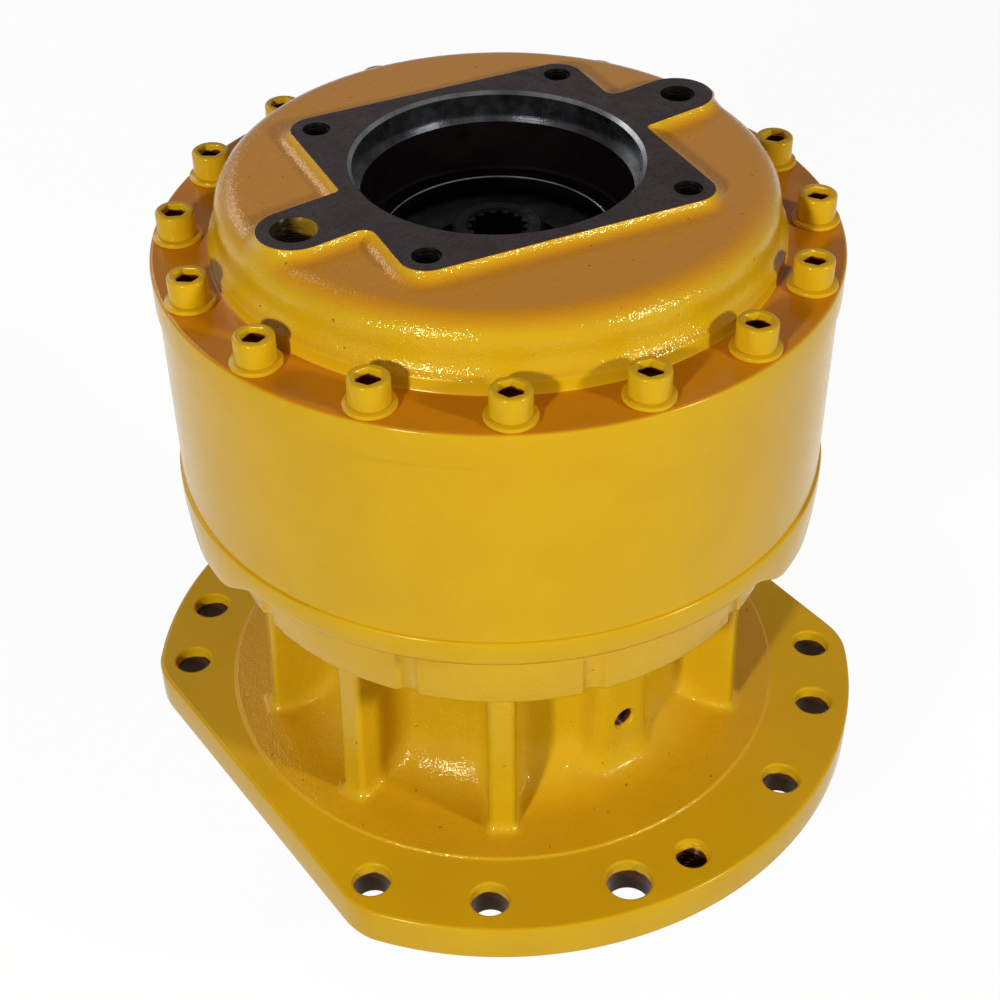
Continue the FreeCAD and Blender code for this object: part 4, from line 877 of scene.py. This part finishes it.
# %% [markdown]
# Away from the ribs the columns spread out evenly, and on the flange they gather at its four
# corners. The flange is a disc with two flats, so its outline is the smaller of the circle and
# the flat, with a small corner.


# %% Plan lines of the lower housing
def flange_outline(angle, inset):
    """Distance from the axis to the flange's edge, where its circle and its
    flats meet in a rounded corner."""
    def field(x, y):
        return rounded_meet(np.hypot(x, y) - FLANGE_R + inset, np.abs(x) - FLAT_X + inset, FLANGE_CORNER)
    return edge_along(spokes(angle), field, 150.0, 270.0)


def flange_angles(columns):
    """Even angles, drawn towards the four corners: each corner takes nine columns 0.6 degrees apart."""
    corner, step, reach = math.acos(FLAT_X / FLANGE_R), math.radians(0.6), 4
    index, value = [], []
    for turn in (corner, math.pi - corner, math.pi + corner, 2 * math.pi - corner):
        nearest = int(round(turn / (2 * math.pi) * columns))
        index += list(range(nearest - reach, nearest + reach + 1))
        value += [turn + step * k for k in range(-reach, reach + 1)]
    knots = [0] + index + [columns]
    angles = [0.0] + value + [2 * math.pi]
    for quarter in (90, 270):
        knots.append(quarter * columns // 360)
        angles.append(math.radians(quarter))
    order = np.argsort(knots)
    return np.interp(np.arange(columns), np.array(knots)[order], np.array(angles)[order])


def band_radius(angle, radius):
    """The band has a shallow round groove at each mid-bay, where the pattern's halves meet."""
    off = (angle + PITCH / 2) % PITCH - PITCH / 2
    across = np.clip(radius * np.sin(off), -GROOVE_R, GROOVE_R)
    groove = radius - GROOVE_DEPTH + GROOVE_R - np.sqrt(GROOVE_R ** 2 - across ** 2)
    return np.minimum(radius, groove)


def lug_share(angle):
    """One on the three chucking lugs under the rim, zero between them, and a smooth
    step of 11 degrees at each end."""
    off = np.min([np.abs((np.degrees(angle) - turn + 180) % 360 - 180) for turn in LUG_TURNS], 0)
    share = np.clip((LUG_END - off) / (LUG_END - LUG_HALF), 0, 1)
    return share ** 2 * (3 - 2 * share)


corner_turn = math.degrees(math.acos(FLAT_X / FLANGE_R))
print("the flange's corners are", round(corner_turn, 1), "degrees from the middle of its flats")

# %% [markdown]
# The cast rows start at the step on the flange, climb the neck and its ribs and go out under the band.
# They gather at the foot and the head of the ribs, where the hollows are, and settle onto the field.


# %% Rows of the neck
def neck_rows(even):
    """Rows over the foot, up the ribs and out under the band; even are the angles
    of the columns on both rims."""
    spoke, floor = spokes(even), FLANGE_TOP + STEP
    foot, head = section(floor), section(BAND_LOW)
    edge, lip = spoke * (STEP_R - 2.2), spoke * band_radius(even, BAND_R - BAND_FOOT)[:, None]
    rows = [row_at(foot + (edge - foot) * share, floor)
            for share in (1 - np.arange(1, FOOT_ROWS + 1) / (FOOT_ROWS + 1)) ** FOOT_GATHER]
    climb = np.linspace(0, 1, CLIMB_ROWS)
    for share in 0.6 * climb + 0.4 * (1 - np.cos(math.pi * climb)) / 2:
        z = floor + (BAND_LOW - floor) * share
        rows.append(row_at(section(z), z))
    rows += [row_at(head + (lip - head) * share, BAND_LOW)
             for share in np.arange(1, UNDER_ROWS + 1) / (UNDER_ROWS + 1)]
    return list(settle(np.array(rows), housing_field))


neck = neck_rows(round_angles(len(section(FLANGE_TOP))))
print("rows of the neck:", len(neck))

# %% [markdown]
# The grid goes once round the casting's section: up the flange's side, over its top, up the neck, up the band
# to the rim, over the joint, down the stepped bore, and back under the flange.


# %% The lower housing
def lower_housing():
    """One closed grid: flange side and top, foot, ribs, band, rim, joint and the bore inside."""
    columns = len(neck[0])
    even, gathered = round_angles(columns), flange_angles(columns)
    spoke, spoke_flange = spokes(even), spokes(gathered)
    rows, finish = [], []

    def ring(radius, height, direction, kind):
        rows.append(row_at(direction * np.reshape(radius, (-1, 1)), height))
        finish.append(kind)

    cast, turned, bare, dark, _, flange, foot_cast = range(7)
    for inset, z in ((1.0, 0.0), (0.0, 1.0), (0.0, FLANGE_TOP - 2.0), (0.3, FLANGE_TOP - 1.0),
                     (1.0, FLANGE_TOP - 0.3), (2.0, FLANGE_TOP), (2.8, FLANGE_TOP)):
        ring(flange_outline(gathered, inset), z, spoke_flange, flange)
    for share in (0.25, 0.5, 0.75):
        blend = spoke_flange * (1 - share) + spoke * share
        ring(flange_outline(gathered, 2.8) * (1 - share) + (STEP_R + 1.8) * share, FLANGE_TOP, blend, flange)
    for r, z in ((STEP_R + 1.8, 0.0), (STEP_R + 1.0, 0.0), (STEP_R + 0.5, 0.1), (STEP_R, 0.5),
                 (STEP_R - 0.4, 1.1), (STEP_R - 1.0, 1.42), (STEP_R - 1.6, STEP), (STEP_R - 2.2, STEP)):
        ring(r, FLANGE_TOP + z, spoke, flange if z < 0.05 else foot_cast)

    rows += neck
    finish += [foot_cast] * (FOOT_ROWS + CLIMB_ROWS) + [cast] * UNDER_ROWS

    for turn in np.radians((0, 22, 45, 67, 90)):
        ring(band_radius(even, BAND_R - BAND_FOOT * (1 - math.sin(turn))),
             BAND_LOW + BAND_FOOT * (1 - math.cos(turn)),
             spoke, cast)
    lug = lug_share(even)
    drop = LUG_DROP * lug
    for z in (LUG_START, 200.0, BAND_TOP - BAND_HEAD):
        ring(band_radius(even, BAND_R), z - drop * (z - LUG_START) / (BAND_TOP - LUG_START), spoke, cast)
    for turn in np.radians((30, 60, 90)):
        ring(band_radius(even, BAND_R + BAND_HEAD * (1 - math.cos(turn))),
             BAND_TOP - BAND_HEAD * (1 - math.sin(turn)) - drop, spoke, cast)
    ring((BAND_R + RIM_R - RIM_EDGE) / 2, BAND_TOP - drop, spoke, cast)
    edge_r = RIM_EDGE + (LUG_EDGE - RIM_EDGE) * lug
    for turn in np.radians((0, 22, 45, 68, 90)):
        ring(RIM_R - edge_r * (1 - math.sin(turn)), BAND_TOP + edge_r * (1 - math.cos(turn)) - drop, spoke,
             cast if turn < 0.1 else turned)
    # The ledge takes the flange's enamel, which browns little, so it reads as a light line: less painted
    # shade on its top.
    for r, z in ((RIM_R, JOINT - 1.7), (RIM_R - 0.13, JOINT - 1.05), (RIM_R - 0.5, JOINT - 0.5),
                 (RIM_R - 1.0, JOINT - 0.15), (RIM_R - 1.6, JOINT)):
        ring(r, z, spoke, flange)
    for r, z, kind in ((RING_R - 0.5, JOINT, bare), (SEAT_R, JOINT, bare), (SEAT_R, SEAT_FLOOR, bare),
                       (GEAR_ROOM_R, SEAT_FLOOR, dark), (GEAR_ROOM_R, GEAR_ROOM_LOW, dark),
                       (UPPER_BORE_R, GEAR_ROOM_LOW, dark), (UPPER_BORE_R, UPPER_BORE_LOW, dark),
                       (SHAFT_ROOM_R, UPPER_BORE_LOW, dark), (SHAFT_ROOM_R, SHAFT_ROOM_LOW, dark),
                       (LOWER_BORE_R, SHAFT_ROOM_LOW, dark), (LOWER_BORE_R, PLATE_SEAT, dark),
                       (PLATE_BORE_R, PLATE_SEAT, bare), (PLATE_BORE_R, SPIGOT_LOW, bare),
                       (SPIGOT_R - 2, SPIGOT_LOW, bare), (SPIGOT_R, SPIGOT_LOW + 2, bare),
                       (SPIGOT_R, 0.0, bare)):
        ring(r, z, spoke, kind)
    ring((SPIGOT_R + flange_outline(gathered, 1.0)) / 2, 0.0, (spoke + spoke_flange) / 2, bare)
    return mesh_object("lower_housing_skin", np.array(rows), grid_faces(len(rows), columns, loop=True),
                       [cast_enamel, turned_enamel, bare_iron, shaded_bore_iron, hole_enamel_with_painted_shade, flange_enamel,
                        foot_enamel, drain_enamel], np.repeat(finish, columns))


housing = lower_housing()
print("lower housing grid", len(housing.data.polygons), "quads")

# %% [markdown]
# Twelve bolt holes and two jacking threads pierce the flange, in two mirrored groups half a turn apart.
# The film has rounded each mouth and runs a little way down the wall; below it the wall is painted dark, a
# painted shade deep in the hole.
# The drain's hole is tapped too, from the front into the wide block.

# %% Holes of the flange and the drain
HOLE_CIRCLE = 229.0
HOLE_TURNS = (-147.8, -128.0, -69.5, -49.2, -34.2)
LARGE_TURN, JACK_TURN = -104.9, -93.0
HOLE_R, LARGE_R = 12.5, 15.0
BROKEN_EDGE, MOUTH = 1.2, 1.8
JACK_THREAD = 30.0
DRAIN_HEIGHT, DRAIN_THREAD, DRAIN_R = 74.0, 18.0, 5.5


def flange_places(turns):
    """Points on the flange's hole circle at each angle and half a turn on."""
    return HOLE_CIRCLE * spokes(np.radians([t + half for t in turns for half in (0, 180)]))


def through_hole(radius, x, y):
    """A drilled hole with a broken edge below and, above, a mouth rounded by the film: a quarter circle."""
    below = [(radius + BROKEN_EDGE + 2, -2.0), (radius + BROKEN_EDGE, -0.001), (radius, BROKEN_EDGE)]
    quarter = [(radius + MOUTH * (1 - math.cos(turn)), FLANGE_TOP + 0.001 - MOUTH * (1 - math.sin(turn)))
               for turn in np.radians((0, 22, 45, 68, 84))]
    return drill(x, y, below + quarter + [(radius + MOUTH + 2, FLANGE_TOP + 2.0)], 56)


cutters = [through_hole(HOLE_R, x, y) for x, y in flange_places(HOLE_TURNS)]
cutters += [through_hole(LARGE_R, x, y) for x, y in flange_places((LARGE_TURN,))]
jack_tap = tap(core=10.5, depth=1.2, pitch=3.0, mouth=12.6, sink=1.6, top=FLANGE_TOP, columns=48)
cutters += [jack_tap(x, y, JACK_THREAD) for x, y in flange_places((JACK_TURN,))]
carve(housing, cutters, 4)


def drain_cutters():
    """The drain's thread and passage are made upright at the origin, then laid along -Y into the block."""
    drain_tap = tap(core=7.4, depth=0.8, pitch=1.34, mouth=9.0, sink=1.4, top=0.0, columns=44)
    upright = [drain_tap(0.0, 0.0, DRAIN_THREAD),
               drill(0.0, 0.0, [(DRAIN_R, -60.0), (DRAIN_R, 2 - DRAIN_THREAD)], 40)]
    return [(np.stack([p[:, 0], -(p[:, 2] + BLOCK_R), p[:, 1] + DRAIN_HEIGHT], -1), faces)
            for p, faces in upright]


smooth(carve(housing, drain_cutters(), 7))
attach(housing, "housing")
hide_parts("lower_housing")
print("holes through the flange:", len(cutters))

# %% [markdown]
# Sixteen M16 socket screws clamp cover, ring gear and housing, each on a plain washer.
# A head is a turned profile whose rings change from round to hexagonal where the key goes in.
# The paint has rounded every edge and run a little way into the socket, where the steel stays black.

# %% One screw and its washer
SCREW_CIRCLE, SCREW_TURN, SCREW_COUNT = 196.0, 11.25, 16
HEAD_R, HEAD_HEIGHT, SHANK_R, SCREW_LENGTH = 12.0, 16.0, 8.0, 170.0
SOCKET_MOUTH, SOCKET_DEPTH = 8.9, 8.0
WASHER_R, WASHER, WASHER_GAP = 15.2, 2.8, 0.15
SEAT = COVER_TOP + WASHER
socket_enamel = hole_wall_enamel("yellow_enamel_over_black_oxide", UP, SEAT + HEAD_HEIGHT - 4.6, "#5A1A10",
                                 wave=3.6)
screw_places = SCREW_CIRCLE * spokes(math.radians(SCREW_TURN) + round_angles(SCREW_COUNT))
SCREW_COLUMNS, EASED_CORNER = 48, 0.18


def hexagon_radius(angle, across_flats):
    """Distance to a hexagon's side: half the flats over the cosine to the nearest
    flat, with its corners eased."""
    off = (angle + math.pi / 6) % (math.pi / 3) - math.pi / 6
    return np.minimum(across_flats / 2 / np.cos(off), across_flats / math.sqrt(3) - EASED_CORNER)


def screw_and_washer():
    """Two grids: a screw with its hexagon socket and the finish of each row, and
    a washer with a rounded rim."""
    angle = round_angles(SCREW_COLUMNS)
    plan, top, tip = spokes(angle), SEAT + HEAD_HEIGHT, SEAT - SCREW_LENGTH
    painted, inside, steel = range(3)
    rows = [(SHANK_R - 1, tip, steel), (SHANK_R, tip + 1, steel), (SHANK_R, SEAT, painted),
            (HEAD_R - 0.5, SEAT, painted), (HEAD_R, SEAT + 0.6, painted), (HEAD_R, top - 1.6, painted),
            (HEAD_R - 0.35, top - 0.7, painted), (HEAD_R - 1.0, top - 0.15, painted),
            (HEAD_R - 1.8, top, painted), (SOCKET_MOUTH, top, painted)]
    rows += [(hexagon_radius(angle, across)[:, None], top - deep, kind) for across, deep, kind in
             ((15.0, 0.1, painted), (14.3, 0.6, painted), (14.0, 1.4, painted), (14.0, 2.4, inside),
              (13.9, SOCKET_DEPTH, inside))]
    rows += [(7.6, top - SOCKET_DEPTH, inside), (2.0, top - SOCKET_DEPTH - 1.6, inside)]
    screw = np.array([row_at(plan * r, z) for r, z, _ in rows])
    hole = SHANK_R + WASHER_GAP
    washer = round_grid([(hole, COVER_TOP), (WASHER_R - 0.4, COVER_TOP), (WASHER_R, COVER_TOP + 0.5),
                         (WASHER_R, SEAT - 0.9), (WASHER_R - 0.3, SEAT - 0.3), (WASHER_R - 1.0, SEAT),
                         (hole, SEAT)], SCREW_COLUMNS)
    return screw, [kind for _, _, kind in rows[:-1]], washer


screw_grid, screw_finish, washer_grid = screw_and_washer()
print("rows of a screw:", len(screw_grid), "and of a washer:", len(washer_grid))

# %% [markdown]
# The screws stand evenly on one circle, and each hexagon is turned its own way, as tightening left it.


# %% Screws and washers on the rim
def repeated(grid, faces, spins):
    """Copies of one grid on the screws' circle, each first spun about its own axis, and all their faces."""
    flat = grid.reshape(-1, 3)
    points, every = [], []
    for k, (place, spin) in enumerate(zip(screw_places, spins)):
        c, s = math.cos(spin), math.sin(spin)
        points.append(row_at(flat[:, :2] @ np.array([[c, s], [-s, c]]) + place, flat[:, 2]))
        every += [[corner + k * len(flat) for corner in face] for face in faces]
    return np.concatenate(points), every


spins = np.random.default_rng(7).uniform(0, math.pi / 3, SCREW_COUNT)
points, faces = repeated(screw_grid, lidded_faces(len(screw_grid), SCREW_COLUMNS), spins)
kinds = np.tile(np.concatenate([np.repeat(screw_finish, SCREW_COLUMNS), [2, 1]]), SCREW_COUNT)
screws = smooth(mesh_object("housing_screws_skin", points, faces, [flange_enamel, socket_enamel, bare_iron],
                            kinds))
points, faces = repeated(washer_grid, grid_faces(len(washer_grid), SCREW_COLUMNS, True).tolist(),
                         np.zeros(SCREW_COUNT))
washers = smooth(mesh_object("screw_washers_skin", points, faces, [flange_enamel]))
for piece, name in ((screws, "housing_screws"), (washers, "screw_washers")):
    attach(piece, "housing")
    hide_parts(name)
print("screws", len(screws.data.polygons), "washers", len(washers.data.polygons))

# %% [markdown]
# The ring gear is a plain turned ring outside, painted with the castings, and has 54 teeth inside,
# left as steel. A tooth's flank is an involute: the curve that a taut string's end draws as it unwinds
# from the base circle. One grid makes the whole ring, because the columns of its outer wall can share
# the angles of the teeth inside.

# %% Involute teeth
MODULE, TEETH, PRESSURE, THINNING = 6.0, 54, math.radians(20), 0.4
FLANK = (169.5, 167.0, 163.0, 159.0, 156.6, 156.0)


def tooth_half_angle(radius):
    """Half an inner tooth's angle: its share of the pitch arc, less inv(pressure) - inv(local),
    where inv(a) = tan a - a."""
    pitch_r = MODULE * TEETH / 2
    base_r = pitch_r * math.cos(PRESSURE)
    local = np.arccos(base_r / np.maximum(radius, base_r))
    change = (math.tan(PRESSURE) - PRESSURE) - (np.tan(local) - local)
    return (math.pi * MODULE / 2 - THINNING) / 2 / pitch_r - change


def tooth_line():
    """Points round all the teeth: a flank out, the tip, a flank back, and two
    points across the gap's floor."""
    radii = np.array(FLANK)
    half = tooth_half_angle(radii)
    pitch = 2 * math.pi / TEETH
    floor = half[0] + (pitch - 2 * half[0]) * np.array([1, 2]) / 3
    angle = np.concatenate([-half, half[::-1], floor])
    r = np.concatenate([radii, radii[::-1], radii[[0, 0]]])
    middle = round_angles(TEETH)[:, None]
    return (spokes(middle + angle) * r[:, None]).reshape(-1, 2)


print("at its pitch circle half a tooth is", round(math.degrees(tooth_half_angle(MODULE * TEETH / 2)), 3),
      "degrees")

# %% [markdown]
# The ring's rows climb its painted wall and go down inside, over the steps that centre it and along the
# teeth. The clearance holes of the screws and two dowel holes are drilled afterwards.

# %% The ring gear
RING_SEAT_R, RING_STEP_R = 173.0, 171.5
TEETH_LOW, TEETH_TOP = 242.5, 361.0


def ring_gear():
    """Rows climb the painted wall and go down inside over the pilot steps and the teeth."""
    teeth = tooth_line()
    columns = len(teeth)
    spoke = spokes(np.arctan2(teeth[:, 1], teeth[:, 0]))
    painted, bare, hobbed = range(3)
    rows = [(spoke * r, z, kind) for r, z, kind in
            ((RING_R - 0.1, JOINT, painted), (RING_R, JOINT + 0.1, painted),
             (RING_R, COVER_JOINT - 0.1, painted), (RING_R - 0.1, COVER_JOINT, bare),
             (RING_SEAT_R, COVER_JOINT, bare), (RING_SEAT_R, TEETH_TOP, bare),
             (RING_STEP_R, TEETH_TOP, hobbed))]
    rows += [(teeth, TEETH_TOP, hobbed), (teeth, TEETH_LOW, hobbed)]
    rows += [(spoke * r, z, bare) for r, z in
             ((RING_STEP_R, TEETH_LOW), (RING_SEAT_R, TEETH_LOW), (RING_SEAT_R, JOINT))]
    points = np.array([row_at(plan, z) for plan, z, _ in rows])
    return mesh_object("ring_gear_skin", points, grid_faces(len(rows), columns, loop=True),
                       [turned_enamel, bare_iron, gear_steel],
                       np.repeat([kind for _, _, kind in rows], columns))


ring = ring_gear()
CLEARANCE_R, DOWEL_R, DOWEL_DEPTH = 8.75, 5.05, 12.0
cutters = [drill(x, y, [(CLEARANCE_R, JOINT - 3), (CLEARANCE_R, COVER_JOINT + 3)], 32)
           for x, y in screw_places]
cutters += [drill(x, 0.0, [(DOWEL_R, JOINT - 3), (DOWEL_R, JOINT + DOWEL_DEPTH)], 24)
            for x in (-SCREW_CIRCLE, SCREW_CIRCLE)]
smooth(carve(ring, cutters, 1))
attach(ring, "housing")
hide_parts("ring_gear")

# %% [markdown]
# Everything inside keeps its imported solid, because turned and hobbed parts are exactly that shape.
# They only need their finishes; the input sun, at the bottom of the motor's bore, is phosphated and painted a
# matt near-black, which is painted shade in part.

# %% Finishes of the imported solids
SLOT_FINISH = {"yellow_paint": turned_enamel, "bearing_steel": ground_steel, "gear_steel": gear_steel,
               "cast_carrier": carrier_iron, "black_steel": socket_steel, "bronze": bronze,
               "seal_rubber": rubber}
slot_of = {part["node"]: part["material_slot"] for part in frame["record"]["subparts"]}
for name, solid in nodes.items():
    if not solid.hide_render:
        solid.data.materials.clear()
        solid.data.materials.append(phosphated_steel_and_shade if name == "stage1_sun" else SLOT_FINISH[slot_of[name]])
print("solids with a finish:", sum(not o.hide_render for o in nodes.values()))

# %% [markdown]
# The gearbox stands on a photographer's pale paper, lit by two small low lamps, one on each side of the
# camera, so its upright walls are brighter than its tops, the screws throw clear shadows and the cast
# grain glints. A large weak lamp behind it lifts the far side. The floor and the world look white to the
# camera and light nothing by that; polished metal mirrors them too, the world at half its white, so that
# the tops keep their deep colour.

# %% The world
SKY_COLOUR, SKY, MIRRORED_WORLD = "#FFD9B8", 0.10, 0.5
WHITE = (1.0, 1.0, 1.0, 1.0)
LARGER = {"operation": "MAXIMUM"}


def seen_rays(tree):
    """One for camera, glossy and transmitted rays, and zero for the rays that carry light."""
    camera, glossy, through = (node(tree, "LightPath", out=f"Is {name} Ray") for name in
                               ("Camera", "Glossy", "Transmission"))
    return node(tree, "Math", LARGER, i0=camera, i1=node(tree, "Math", LARGER, i0=glossy, i1=through))


def white_world():
    """The world is plain white where it is seen, half as bright in a reflection, and
    a soft even light elsewhere."""
    world = bpy.data.worlds.new("studio")
    bpy.context.scene.world = world
    world.use_nodes = True
    tree = world.node_tree
    tree.nodes.clear()
    sky = node(tree, "Background", Color=linear(SKY_COLOUR), Strength=SKY)
    seen = node(tree, "Math", LARGER, i0=node(tree, "LightPath", out="Is Camera Ray"), i1=MIRRORED_WORLD)
    white = node(tree, "Background", Color=WHITE, Strength=seen)
    both = node(tree, "MixShader", i0=seen_rays(tree), i1=sky, i2=white)
    fill(tree, tree.nodes.new("ShaderNodeOutputWorld"), Surface=both)


white_world()
print("the world's light is", SKY, "of", SKY_COLOUR)

# %% [markdown]
# The paper lies a millimetre below the lowest solid. It is a little uneven in soft clouds of
# about 300 mm, which hardly show.

# %% The paper
PAPER_HALF, PAPER_BELOW, PAPER_CLOUDS = 6.0, 0.001, 300
PAPER_GLOW, PAPER_GLOW_SHARE = 1.10, 0.86


def white_floor():
    """Pale paper. To the camera most of its white is its own, so only a faint
    shadow of the object shows on it."""
    low = cad_box[0][2] - PAPER_BELOW
    mesh = bpy.data.meshes.new("floor")
    corners = [(x * PAPER_HALF, y * PAPER_HALF, low) for x, y in ((-1, -1), (1, -1), (1, 1), (-1, 1))]
    mesh.from_pydata(corners, [], [(0, 1, 2, 3)])
    floor = bpy.data.objects.new("floor", mesh)
    bpy.context.scene.collection.objects.link(floor)
    material, tree, shader, where = new_material("white_paper")
    clouds = two_tone(tree, where, PAPER_CLOUDS, "#B4B1AE", "#BAB7B4", detail=2.0)
    fill(tree, shader, Base_Color=clouds, Roughness=0.95, Specular_IOR_Level=0.0)
    surface = shader.outputs["BSDF"].links[0].to_socket
    glow = node(tree, "Emission", Color=WHITE, Strength=PAPER_GLOW)
    share = node(tree, "Math", {"operation": "MULTIPLY"}, i0=seen_rays(tree), i1=PAPER_GLOW_SHARE)
    tree.links.new(node(tree, "MixShader", i0=share, i1=shader.outputs["BSDF"], i2=glow), surface)
    mesh.materials.append(material)
    print("paper at", round(low, 4), "m")


white_floor()

# %% [markdown]
# The two small lamps make the shadows and the glints. The bearing of a lamp counts from +X towards +Y.

# %% The lamps
LAMPS = (("left", -153.0, 24.0, 2.6, 0.22, 43.0),
         ("right", -68.0, 24.0, 2.6, 0.26, 33.5),
         ("back", 95.0, 35.0, 2.6, 1.2, 12.0))
AIM_HEIGHT = 0.2


def studio_lamps():
    """Round area lamps, each by its bearing and height in degrees, distance and width in
    metres, and power in watts."""
    for name, bearing, height, distance, width, power in LAMPS:
        lamp = bpy.data.lights.new(name, "AREA")
        lamp.shape, lamp.size, lamp.energy = "DISK", width, power
        made = bpy.data.objects.new(name, lamp)
        bpy.context.scene.collection.objects.link(made)
        turn, rise = math.radians(bearing), math.radians(height)
        place = Vector((math.cos(turn) * math.cos(rise), math.sin(turn) * math.cos(rise),
                        math.sin(rise))) * distance
        made.location = place + Vector((0, 0, AIM_HEIGHT))
        made.rotation_euler = (-place).to_track_quat("-Z", "Y").to_euler()


studio_lamps()
bpy.context.scene.view_settings.view_transform = "Standard"
print("lamps:", [name for name, *_ in LAMPS])

# %% [markdown]
# The last cell prints the size of the solids' box; looks never change a dimension.
# The two must agree, because looks never change a dimension.

# %% Sizes and the end
print("cad", [tuple(round(c, 4) for c in corner) for corner in cad_box])
